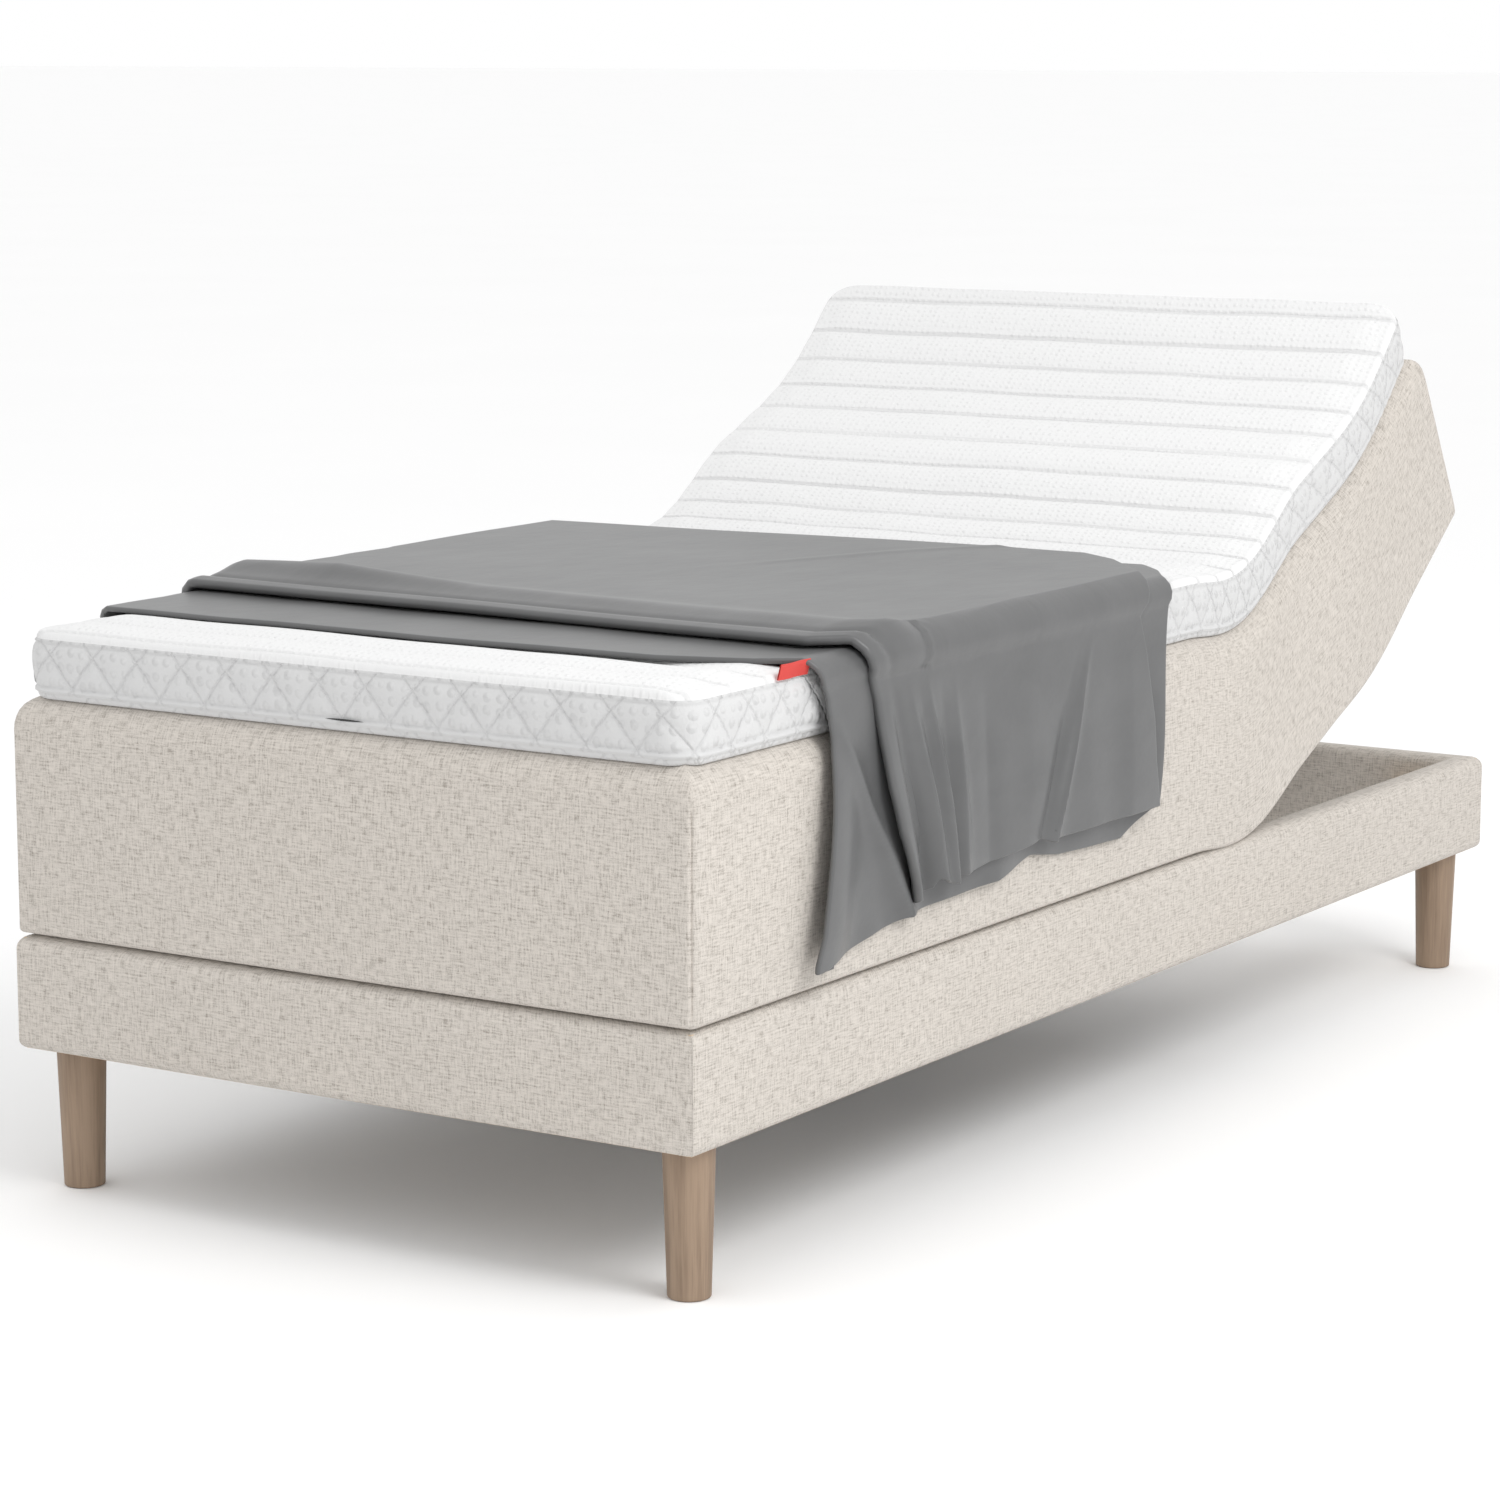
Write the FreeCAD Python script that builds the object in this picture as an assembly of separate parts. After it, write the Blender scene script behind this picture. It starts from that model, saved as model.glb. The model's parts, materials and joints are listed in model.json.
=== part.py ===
"""Adjustable bed, single size, drawn in millimetres.

An upholstered base frame on turned legs carries a lifting unit of five padded
sections (calf, thigh, seat, back, head), a quilted topper and a throw.  The
seat is fixed.  The other sections turn on hinge pins just under the decks.
Two torsion tubes with roller arms lift the back and the thighs, and a twin
drive hung on the tubes pushes their levers.  A small actuator tilts the head.

Origin: on the floor, in the middle of the plan.  +X is to the sleeper's left
hand when lying face up, +Y points to the head end, +Z is up.  Every section
is drawn flat and then turned to the stored pose, back and head raised.
"""
import FreeCAD, Part
import math
import os
from FreeCAD import Vector

# ---- overall sizes
WIDTH = 900.0
LENGTH = 2000.0
BASE_BOTTOM = 163.0
BASE_TOP = 292.0
UNIT_BOTTOM = 295.0
UNIT_TOP = 563.0
TOPPER_TOP = 628.0
HALF_WIDTH = WIDTH / 2
HALF_LENGTH = LENGTH / 2

# ---- hinge lines, all at one height
HINGE_Z = 272.0
KNEE_Y = -400.0
THIGH_Y = -50.0
BACK_Y = 270.0
HEAD_Y = 660.0

# ---- angles in degrees: stored pose and the most that each hinge closes
BACK_REST = 23.5
HEAD_REST = 12.0
BACK_MOST = 45.0
HEAD_MOST = 30.0
THIGH_MOST = 30.0
HEAD_FACE_LEAN = 4.5

# ---- upholstery
SKIN = 3.0
BOTTOM_SKIN = 2.0
UNIT_EDGE = 40.0
UNIT_CORNER = 10.0
DECK = 15.0
SECTION_GAP = 1.0
TOPPER_INSET = 13.0
TOPPER_EDGE = 20.0
TOPPER_CORNER = 60.0
FLEX_START = 30.0
FLEX_INSET = 0.5

# ---- base rails and legs
RAIL = 38.0
RAIL_CORE = 25.0
RAIL_SKIN = 6.0
RAIL_EDGE = 14.0
RAIL_CORNER = 10.0
BLOCK = 90.0
BLOCK_TOP = 250.0
LEG_X = 408.0
LEG_Y = 944.0
LEG_R_TOP = 28.0
LEG_R_FOOT = 23.0
LEG_EDGE = 2.0
BOLT_R = 4.0
BOLT_LOW = 95.0
BOLT_TOP = 262.0
WASHER_R = 9.0
BEAM_Z = (165.0, 181.0)
BEAM_END = 6.0

# ---- section frames: flat steel irons in two planes side by side
IRON = 5.0
IRON_X = 376.0
IRON_GAP = 0.4
IRON_LOW = 265.0
IRON_END = 950.0
EYE_R = 14.0
EYE_NECK = 40.0
IRON_CUT = 12.0
PIN_R = 6.0
RUN = 0.05
BAR_LOW = 275.0
BAR_WIDE = 30.0
BAR_NARROW = 10.0

# ---- torsion tubes, arms and rollers
BACK_ARM = 170.0
THIGH_ARM = 130.0
TUBE_R = 15.0
TUBE_WALL = 2.5
TUBE_HALF = 212.0
BEARING_X = 200.0
BEARING = 8.0
BUSH_R = 18.0
EAR_R = 21.5
ARM_X = 133.5
ARM = 6.0
ARM_HALF = 11.0
ROLLER_X = 120.0
ROLLER_HALF = 10.0
ROLLER_R = 17.7
ROLLER_PIN_R = 5.0
CHANNEL_TOP = 290.0
CHANNEL_LIP = 279.0
LEVER = 62.0
LEVER_HALF = 6.0
LEVER_WAIST = 4.5
NOSE_R = 9.0

# ---- twin drive
TRAY_X = 45.0
TRAY_Y = (-245.0, 505.0)
TRAY_Z = (182.0, 232.0)
LID_Y = (-130.0, 375.0)
LID_TOP = 250.0
SHELL = 3.0
SCREW_Z = 192.0
SCREW_R = 5.0
SLIDER = 40.0
SLIDER_X = 28.0
SLIDER_TOP = 226.0
BACK_SLIDER_PLAY = 2.35
LEG_SLIDER_PLAY = 1.6

# ---- head actuator, beside the drive
ACTUATOR_X = 260.0
HORN = 64.0
HORN_PLATE = 6.0
FORK_HALF = 9.0

# ---- throw over the foot half
THROW = 6.0
THROW_TOP = 8.0
THROW_SIDE = [(-790, 628), (-772, 312), (-700, 330), (-540, 345), (-70, 340), (0, 370), (20, 628)]
THROW_Y = (-850.0, 110.0)


# ---------------------------------------------------------------- helpers
def box(x0, x1, y0, y1, z0, z1):
    return Part.makeBox(x1 - x0, y1 - y0, z1 - z0, Vector(x0, y0, z0))


def rod_x(x0, x1, y, z, radius):
    return Part.makeCylinder(radius, x1 - x0, Vector(x0, y, z), Vector(1, 0, 0))


def rod_y(y0, y1, x, z, radius):
    return Part.makeCylinder(radius, y1 - y0, Vector(x, y0, z), Vector(0, 1, 0))


def plate_yz(points, x0, x1):
    """A plate with the given (y, z) outline, from x0 to x1."""
    corners = [Vector(x0, y, z) for y, z in points]
    face = Part.Face(Part.makePolygon(corners + corners[:1]))
    return face.extrude(Vector(x1 - x0, 0, 0))


def bar_yz(start, end, half, x0, x1):
    """A flat bar with round ends between two (y, z) points."""
    length = math.hypot(end[0] - start[0], end[1] - start[1])
    angle = math.degrees(math.atan2(end[1] - start[1], end[0] - start[0]))
    bar = box(x0, x1, 0, length, -half, half)
    bar.rotate(Vector(0, 0, 0), Vector(1, 0, 0), angle)
    bar.translate(Vector(0, start[0], start[1]))
    ends = [rod_x(x0, x1, y, z, half) for y, z in (start, end)]
    return join([bar] + ends)


def join(shapes):
    return shapes[0].fuse(shapes[1:]).removeSplitter() if len(shapes) > 1 else shapes[0]


def cut(shape, tools):
    return shape.cut(tools) if tools else shape


def both_sides(shape):
    return [shape, shape.mirror(Vector(0, 0, 0), Vector(1, 0, 0))]


def polar(centre, angle, radius):
    a = math.radians(angle)
    return (centre[0] + radius * math.cos(a), centre[1] + radius * math.sin(a))


def turned(shape, centre, angle):
    result = shape.copy()
    result.rotate(Vector(0, centre[0], centre[1]), Vector(1, 0, 0), angle)
    return result


def as_drawn(shape):
    return shape


def at_back(shape):
    return turned(shape, (BACK_Y, HINGE_Z), BACK_REST)


def at_head(shape):
    return at_back(turned(shape, (HEAD_Y, HINGE_Z), HEAD_REST))


def save(name, shapes, place=as_drawn):
    solids = [s for shape in shapes for s in place(shape).Solids]
    shape = solids[0] if len(solids) == 1 else Part.makeCompound(solids)
    bad = [s for s in solids if not s.isValid() or s.Volume <= 0]
    print(f"{name:22s} {len(solids)} solids {shape.Volume / 1e3:10.1f} cm3", "BAD" if bad else "")
    shape.exportStep(f"parts/{name}.step")


# ---------------------------------------------------------------- sections
class Section:
    """One padded section, from its foot-side end to its head-side end."""

    def __init__(self, name, foot_y, head_y, foot_lean, head_lean, plane, place):
        self.name = name
        self.foot_y, self.head_y = foot_y, head_y
        self.foot_lean, self.head_lean = foot_lean, head_lean
        self.iron_x = IRON_X + plane * (IRON + IRON_GAP)
        self.place = place

    def foot_at(self, z):
        if self.foot_lean is None:
            return self.foot_y - UNIT_EDGE
        return self.foot_y + SECTION_GAP + (z - HINGE_Z) * math.tan(math.radians(self.foot_lean))

    def head_at(self, z):
        if self.head_lean is None:
            return self.head_y + 2 * UNIT_EDGE
        return self.head_y - SECTION_GAP - (z - HINGE_Z) * math.tan(math.radians(self.head_lean))

    def wedge(self, z0, z1):
        """The slice of the bed between the section's two end planes."""
        outline = [(self.foot_at(z0), z0), (self.head_at(z0), z0)]
        outline += [(self.head_at(z1), z1), (self.foot_at(z1), z1)]
        return plate_yz(outline, -WIDTH, WIDTH)


def make_sections():
    head, back, thigh = HEAD_MOST / 2, BACK_MOST / 2, THIGH_MOST / 2
    return [
        Section("calf", -HALF_LENGTH, KNEE_Y, None, 0.0, 0, as_drawn),
        Section("thigh", KNEE_Y, THIGH_Y, 0.0, thigh, 1, as_drawn),
        Section("seat", THIGH_Y, BACK_Y, thigh, back, 0, as_drawn),
        Section("back", BACK_Y, HEAD_Y, back, head, 1, at_back),
        Section("head", HEAD_Y, HALF_LENGTH, head, None, 0, at_head),
    ]


def is_upright(edge):
    return abs(edge.tangentAt(edge.FirstParameter).z) > 0.9


def rounded(block, top, edge, corner):
    """Rounds a block's top rim by edge and its uprights by corner, the larger radius first."""
    steps = [(edge, lambda e: e.BoundBox.ZMin > top - 0.01), (corner, is_upright)]
    for radius, chosen in sorted(steps, key=lambda step: -step[0]):
        block = block.makeFillet(radius, [e for e in block.Edges if chosen(e)])
    return block


def padded_block(half_width, foot_y, head_y, z0, z1, edge, corner):
    """A long block with a leaning head face, rounded upright corners and top edges."""
    lean = (z1 - z0) * math.tan(math.radians(HEAD_FACE_LEAN))
    block = plate_yz([(foot_y, z0), (head_y, z0), (head_y + lean, z1), (foot_y, z1)], -half_width, half_width)
    return rounded(block, z1, edge, corner)


def unit_blocks():
    outer = padded_block(
        HALF_WIDTH, -HALF_LENGTH, HALF_LENGTH, UNIT_BOTTOM, UNIT_TOP, UNIT_EDGE, UNIT_CORNER
    )
    inner = padded_block(
        HALF_WIDTH - SKIN,
        SKIN - HALF_LENGTH,
        HALF_LENGTH - SKIN,
        UNIT_BOTTOM + BOTTOM_SKIN,
        UNIT_TOP - SKIN,
        UNIT_EDGE - SKIN,
        UNIT_CORNER - SKIN,
    )
    return outer, inner


def topper_block():
    rise = (UNIT_TOP - UNIT_BOTTOM) * math.tan(math.radians(HEAD_FACE_LEAN))
    half = HALF_WIDTH - TOPPER_INSET
    foot, head = TOPPER_INSET - HALF_LENGTH, HALF_LENGTH - TOPPER_INSET + rise
    return padded_block(half, foot, head, UNIT_TOP, TOPPER_TOP, TOPPER_EDGE, TOPPER_CORNER)


def save_padding(section, outer, inner, topper):
    """The deck board, core, cover and topper of one section."""
    deck_top = UNIT_BOTTOM + BOTTOM_SKIN + DECK
    unit = section.wedge(UNIT_BOTTOM - 1, UNIT_TOP + 1)
    inside = inner.common(unit)
    low = box(-WIDTH, WIDTH, -LENGTH, LENGTH, 0, deck_top)
    save(section.name + "_deck", [inside.common(low)], section.place)
    save(section.name + "_core", [inside.cut(low)], section.place)
    save(section.name + "_cover", [outer.common(unit).cut(inner)], section.place)
    save(section.name + "_topper", [topper.common(section.wedge(UNIT_TOP, TOPPER_TOP))], section.place)


def flex(centre, lean, foot_slope, head_slope):
    """The soft filling of the notch between two sections, at the stored slopes."""
    height = TOPPER_TOP - HINGE_Z
    foot_side = foot_slope + 90 + lean - FLEX_INSET
    head_side = head_slope + 90 - lean + FLEX_INSET
    side = height / math.cos(math.radians(lean - FLEX_INSET))
    middle = height / math.cos(math.radians((head_slope - foot_slope) / 2))
    outline = [
        polar(centre, foot_side, FLEX_START),
        polar(centre, foot_side, side),
        polar(centre, (foot_side + head_side) / 2, middle),
        polar(centre, head_side, side),
        polar(centre, head_side, FLEX_START),
    ]
    half = HALF_WIDTH - TOPPER_INSET - SECTION_GAP
    return plate_yz(outline, -half, half)


def head_hinge_at_rest():
    return polar((BACK_Y, HINGE_Z), BACK_REST, HEAD_Y - BACK_Y)


# ---------------------------------------------------------------- steel frames
def iron(section):
    """The right-hand side iron, with an eye at each end that has a hinge."""
    x0, x1 = section.iron_x, section.iron_x + IRON
    start = section.foot_y + IRON_CUT if section.foot_lean is not None else -IRON_END
    end = section.head_y - IRON_CUT if section.head_lean is not None else IRON_END
    parts = [box(x0, x1, start, end, IRON_LOW, UNIT_BOTTOM)]
    holes = []
    for y, lean, inward in ((section.foot_y, section.foot_lean, 1), (section.head_y, section.head_lean, -1)):
        if lean is None:
            continue
        parts.append(bar_yz((y, HINGE_Z), (y + inward * EYE_NECK, HINGE_Z), EYE_R, x0, x1))
        holes.append(rod_x(x0 - 1, x1 + 1, y, HINGE_Z, PIN_R + RUN))
    return cut(join(parts), holes)


def cross_bar(section, y, wide=BAR_WIDE):
    """A bar between the section's irons, with its foot-side edge at y."""
    return box(-section.iron_x, section.iron_x, y, y + wide, BAR_LOW, UNIT_BOTTOM)


def channels(y0, y1):
    """The two runways that the rollers push against."""
    inner = ROLLER_HALF + 0.5
    outer = inner + SHELL
    whole = box(ROLLER_X - outer, ROLLER_X + outer, y0, y1, CHANNEL_LIP, UNIT_BOTTOM)
    groove = box(ROLLER_X - inner, ROLLER_X + inner, y0 - 1, y1 + 1, 0, CHANNEL_TOP)
    return both_sides(whole.cut(groove))


def seat_tabs():
    """Tabs that bolt the seat frame to the side rails."""
    rail = HALF_WIDTH - RAIL
    tabs = []
    for y in (0, 170):
        arm = box(IRON_X + IRON, rail, y, y + 50, 270, 276)
        foot = box(rail - 6, rail, y, y + 50, 225, 276)
        tabs += both_sides(arm.fuse(foot))
    return tabs


def actuator_hanger():
    """Two cheeks that hold the head actuator under the back frame's first bar."""
    y = BACK_Y + 40
    low = HINGE_Z - HORN - 18
    return [box(ACTUATOR_X + x, ACTUATOR_X + x + 4, y, y + 26, low, BAR_LOW) for x in (-26, 22)]


def horn():
    """The head frame's two cheeks, with the pin that the actuator's rod turns on."""
    pin = polar((HEAD_Y, HINGE_Z), -90 - HEAD_MOST / 2, HORN)
    cheeks = []
    for x in (-FORK_HALF - HORN_PLATE, FORK_HALF):
        x0, x1 = ACTUATOR_X + x, ACTUATOR_X + x + HORN_PLATE
        outline = [
            (HEAD_Y + 34, BAR_LOW),
            (HEAD_Y + 68, BAR_LOW),
            (HEAD_Y + 60, HINGE_Z - 30),
            (pin[0] + 8, pin[1] - 8),
            (pin[0] - 8, pin[1] + 4),
        ]
        cheeks.append(plate_yz(outline, x0, x1).fuse(rod_x(x0, x1, pin[0], pin[1], 11)))
    reach = FORK_HALF + HORN_PLATE
    cheeks.append(rod_x(ACTUATOR_X - reach, ACTUATOR_X + reach, pin[0], pin[1], ROLLER_PIN_R))
    return [join(cheeks)]


def save_frames(sections):
    calf, thigh, seat, back, head = sections
    extras = {
        "calf": [cross_bar(calf, KNEE_Y - 80), cross_bar(calf, -920), cross_bar(calf, -660)],
        "thigh": [cross_bar(thigh, THIGH_Y - 70), cross_bar(thigh, THIGH_Y - 320)]
        + channels(THIGH_Y - 290, THIGH_Y - 197),
        "seat": [cross_bar(seat, 10), cross_bar(seat, 180)] + seat_tabs(),
        "back": [cross_bar(back, BACK_Y + 40), cross_bar(back, BACK_Y + 364, BAR_NARROW)]
        + channels(BACK_Y + 215, BACK_Y + 364)
        + actuator_hanger(),
        "head": [cross_bar(head, HEAD_Y + 40), cross_bar(head, 900)] + horn(),
    }
    for section in sections:
        irons = both_sides(iron(section))
        save(section.name + "_frame", irons + extras[section.name], section.place)


def hinge_pin(y):
    """A headed pin through both irons, with its lock nut."""
    inner, outer = IRON_X - 3, IRON_X + 2 * IRON + IRON_GAP + 3.2
    pin = rod_x(inner, outer, y, HINGE_Z, PIN_R)
    caps = [rod_x(inner, IRON_X - 0.3, y, HINGE_Z, 9), rod_x(outer - 3, outer, y, HINGE_Z, 9)]
    return both_sides(join([pin] + caps))


# ---------------------------------------------------------------- base
def rail_core_boxes():
    x1, y1 = HALF_WIDTH - RAIL_SKIN, HALF_LENGTH - RAIL_SKIN
    x0, y0 = x1 - RAIL_CORE, y1 - RAIL_CORE
    top = BASE_TOP - SKIN
    return {
        "side_rail_left": box(-x1, -x0, -y1, y1, BASE_BOTTOM, top),
        "side_rail_right": box(x0, x1, -y1, y1, BASE_BOTTOM, top),
        "foot_rail": box(-x0, x0, -y1, -y0, BASE_BOTTOM, top),
        "head_rail": box(-x0, x0, y0, y1, BASE_BOTTOM, top),
    }


def corner_block():
    """The block behind the +X +Y corner, with a cut-off inner corner."""
    x1 = HALF_WIDTH - RAIL_SKIN - RAIL_CORE
    y1 = HALF_LENGTH - RAIL_SKIN - RAIL_CORE
    outline = [
        Vector(x1, y1, BASE_BOTTOM),
        Vector(x1 - BLOCK, y1, BASE_BOTTOM),
        Vector(x1 - BLOCK, y1 - BLOCK / 2, BASE_BOTTOM),
        Vector(x1 - BLOCK / 2, y1 - BLOCK, BASE_BOTTOM),
        Vector(x1, y1 - BLOCK, BASE_BOTTOM),
    ]
    face = Part.Face(Part.makePolygon(outline + outline[:1]))
    block = face.extrude(Vector(0, 0, BLOCK_TOP - BASE_BOTTOM))
    return block.cut(Part.makeCylinder(BOLT_R, BLOCK_TOP, Vector(LEG_X, LEG_Y, 0)))


def four_corners(shape):
    pair = both_sides(shape)
    return pair + [s.mirror(Vector(0, 0, 0), Vector(0, 1, 0)) for s in pair]


def base_cover(cores, blocks):
    """The fabric and wadding over the rails, mitred at the corners."""
    outer = box(-HALF_WIDTH, HALF_WIDTH, -HALF_LENGTH, HALF_LENGTH, BASE_BOTTOM, BASE_TOP)
    outer = rounded(outer, BASE_TOP, RAIL_EDGE, RAIL_CORNER)
    x, y = HALF_WIDTH - RAIL, HALF_LENGTH - RAIL
    washer_room = Part.makeCylinder(WASHER_R + 0.3, BOLT_TOP - BLOCK_TOP, Vector(LEG_X, LEG_Y, BLOCK_TOP))
    inside = [box(-x, x, -y, y, 0, UNIT_TOP)] + four_corners(washer_room)
    ring = outer.cut(inside + cores + blocks)
    corner_x, corner_y = HALF_WIDTH + 50, HALF_LENGTH + 50
    mitre = [Vector(corner_x, -corner_y, 0), Vector(corner_x, corner_y, 0)]
    mitre += [Vector(x - 50, y - 50, 0), Vector(x - 50, 50 - y, 0)]
    side = Part.Face(Part.makePolygon(mitre + mitre[:1])).extrude(Vector(0, 0, UNIT_TOP))
    sides = both_sides(side)
    return [ring.common(s) for s in sides] + ring.cut(sides).Solids


def leg():
    """A tapered turned leg at +X +Y, with the hole for its bolt."""
    cone = Part.makeCone(LEG_R_FOOT, LEG_R_TOP, BASE_BOTTOM, Vector(LEG_X, LEG_Y, 0))
    rims = [e for e in cone.Edges if e.BoundBox.ZMax < 0.01]
    cone = cone.makeFillet(LEG_EDGE, rims)
    return cone.cut(Part.makeCylinder(BOLT_R, BASE_BOTTOM, Vector(LEG_X, LEG_Y, BOLT_LOW)))


def leg_bolt():
    shank = Part.makeCylinder(BOLT_R, BOLT_TOP - BOLT_LOW, Vector(LEG_X, LEG_Y, BOLT_LOW))
    washer = Part.makeCylinder(WASHER_R, 2, Vector(LEG_X, LEG_Y, BLOCK_TOP))
    nut = Part.makeCylinder(6.5, 6, Vector(LEG_X, LEG_Y, BLOCK_TOP + 2))
    return join([shank, washer, nut])


def cross_beam(y):
    """A beam under the drive, with end plates and the two bearing plates."""
    rail = HALF_WIDTH - RAIL
    low, high = BEAM_Z
    beam = box(BEAM_END - rail, rail - BEAM_END, y - 20, y + 20, low, high)
    ends = both_sides(box(rail - BEAM_END, rail, y - 30, y + 30, low, 225))
    plate = box(BEARING_X, BEARING_X + BEARING, y - EAR_R, y + EAR_R, high, HINGE_Z)
    plate = plate.fuse(rod_x(BEARING_X, BEARING_X + BEARING, y, HINGE_Z, EAR_R))
    plate = plate.cut(rod_x(BEARING_X - 1, BEARING_X + BEARING + 1, y, HINGE_Z, BUSH_R))
    return [beam] + ends + both_sides(plate)


def bushes(y):
    ring = rod_x(BEARING_X, BEARING_X + BEARING, y, HINGE_Z, BUSH_R)
    return both_sides(ring.cut(rod_x(BEARING_X, BEARING_X + BEARING, y, HINGE_Z, TUBE_R + RUN)))


def save_base():
    cores = rail_core_boxes()
    blocks = four_corners(corner_block())
    for name, shape in cores.items():
        save(name, [shape])
    save("corner_blocks", blocks)
    save("base_cover", base_cover(list(cores.values()), blocks))
    legs = four_corners(leg())
    for name, shape in zip(("head_right", "head_left", "foot_right", "foot_left"), legs):
        save("leg_" + name, [shape])
    save("leg_bolts", four_corners(leg_bolt()))
    tubes = (tube_at("back"), tube_at("legs"))
    save("cross_beams", [piece for y in tubes for piece in cross_beam(y)])
    save("tube_bushes", [b for y in tubes for b in bushes(y)])


# ---------------------------------------------------------------- lift gear
def tube_at(which):
    return BACK_Y + BACK_ARM if which == "back" else THIGH_Y - THIGH_ARM


def lift_tube(y, arm_angle, lever_angle, arm_length):
    """A torsion tube with two roller arms and the drive's lever, in one weldment."""
    centre = (y, HINGE_Z)
    tube = rod_x(-TUBE_HALF, TUBE_HALF, y, HINGE_Z, TUBE_R)
    roller = polar(centre, arm_angle, arm_length)
    arm = bar_yz(centre, roller, ARM_HALF, ARM_X, ARM_X + ARM)
    pin = rod_x(ROLLER_X - ROLLER_HALF, ARM_X + ARM, roller[0], roller[1], ROLLER_PIN_R)
    tip = polar(centre, lever_angle, LEVER)
    lever = bar_yz(centre, tip, LEVER_WAIST, -LEVER_HALF, LEVER_HALF)
    nose = rod_x(-LEVER_HALF, LEVER_HALF, tip[0], tip[1], NOSE_R)
    whole = join([tube, lever, nose] + both_sides(arm) + both_sides(pin))
    return whole.cut(rod_x(-TUBE_HALF, TUBE_HALF, y, HINGE_Z, TUBE_R - TUBE_WALL)), roller


def rollers(centre):
    x0, x1 = ROLLER_X - ROLLER_HALF, ROLLER_X + ROLLER_HALF
    wheel = rod_x(x0, x1, centre[0], centre[1], ROLLER_R)
    return both_sides(wheel.cut(rod_x(x0, x1, centre[0], centre[1], ROLLER_PIN_R + RUN)))


def save_lift_gear():
    back_turn = 2 * BACK_REST
    back_tube, back_roller = lift_tube(tube_at("back"), back_turn, back_turn - BACK_MOST - 90, BACK_ARM)
    leg_tube, leg_roller = lift_tube(tube_at("legs"), 180, -90 + THIGH_MOST, THIGH_ARM)
    save("back_lift_tube", [back_tube])
    save("leg_lift_tube", [leg_tube])
    save("back_rollers", rollers(back_roller))
    save("leg_rollers", rollers(leg_roller))


# ---------------------------------------------------------------- drive
def drive_tray():
    """The lower housing, open on top, with ears that hang it on both tubes."""
    y0, y1 = TRAY_Y
    z0, z1 = TRAY_Z
    tray = box(-TRAY_X, TRAY_X, y0, y1, z0, z1)
    tray = tray.cut(box(SHELL - TRAY_X, TRAY_X - SHELL, y0 + SHELL, y1 - SHELL, z0 + SHELL, z1 + 1))
    ears, bores = [], []
    for y in (tube_at("back"), tube_at("legs")):
        ear = box(TRAY_X - 6, TRAY_X, y - EAR_R, y + EAR_R, z1 - 8, HINGE_Z)
        ears += both_sides(ear.fuse(rod_x(TRAY_X - 6, TRAY_X, y, HINGE_Z, EAR_R)))
        bores.append(rod_x(-TRAY_X - 1, TRAY_X + 1, y, HINGE_Z, TUBE_R + RUN))
    inlet = box(TRAY_X - 1, TRAY_X + 10, 90, 130, 192, 222)
    inlet = inlet.cut(box(TRAY_X + 1, TRAY_X + 11, 97, 123, 198, 216))
    return join([tray, inlet] + ears).cut(bores)


def drive_lid():
    y0, y1 = LID_Y
    z0 = TRAY_Z[1]
    lid = box(-TRAY_X, TRAY_X, y0, y1, z0, LID_TOP)
    top = [e for e in lid.Edges if e.BoundBox.ZMin > LID_TOP - 0.01]
    lid = lid.makeFillet(6, top)
    return lid.cut(box(SHELL - TRAY_X, TRAY_X - SHELL, y0 + SHELL, y1 - SHELL, z0 - 1, LID_TOP - SHELL))


def motors():
    """Two motors back to back, each with its gearbox on the outer end."""
    parts = []
    for y0, y1, box0, box1 in ((62, 122, 26, 62), (138, 198, 198, 234)):
        can = rod_y(y0, y1, 0, 214, 21)
        gearbox = box(-SLIDER_X, SLIDER_X, box0, box1, TRAY_Z[0] + SHELL, 240)
        parts.append(can.fuse(gearbox))
    return parts


def slider(face_y, inward):
    """The nut block that pushes a lever; inward is the way from its face to the motor."""
    y0, y1 = sorted((face_y, face_y + inward * SLIDER))
    block = box(-SLIDER_X, SLIDER_X, y0, y1, TRAY_Z[0] + SHELL + 0.5, SLIDER_TOP)
    return block.cut(rod_y(y0, y1, 0, SCREW_Z, SCREW_R + RUN))


def linear_rate(most):
    """How far a slider moves per radian of its lever, over a swing of 2 x most degrees."""
    return LEVER * math.sin(math.radians(most)) / math.radians(most)


def save_drive():
    save("drive_housing", [drive_tray()])
    save("drive_lid", [drive_lid()])
    save("drive_motors", motors())
    back_face = (
        tube_at("back")
        + linear_rate(BACK_MOST) * math.radians(2 * BACK_REST - BACK_MOST)
        - NOSE_R
        - BACK_SLIDER_PLAY
    )
    leg_face = tube_at("legs") + LEVER * math.sin(math.radians(THIGH_MOST)) + NOSE_R + LEG_SLIDER_PLAY
    save("drive_slider_back", [slider(back_face, -1)])
    save("drive_slider_legs", [slider(leg_face, 1)])
    save("lead_screw_back", [rod_y(234, TRAY_Y[1] - 8, 0, SCREW_Z, SCREW_R)])
    save("lead_screw_legs", [rod_y(TRAY_Y[0] + 8, 26, 0, SCREW_Z, SCREW_R)])
    print("slider rates, mm per radian of section:", 2 * linear_rate(BACK_MOST), 2 * linear_rate(THIGH_MOST))


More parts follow.
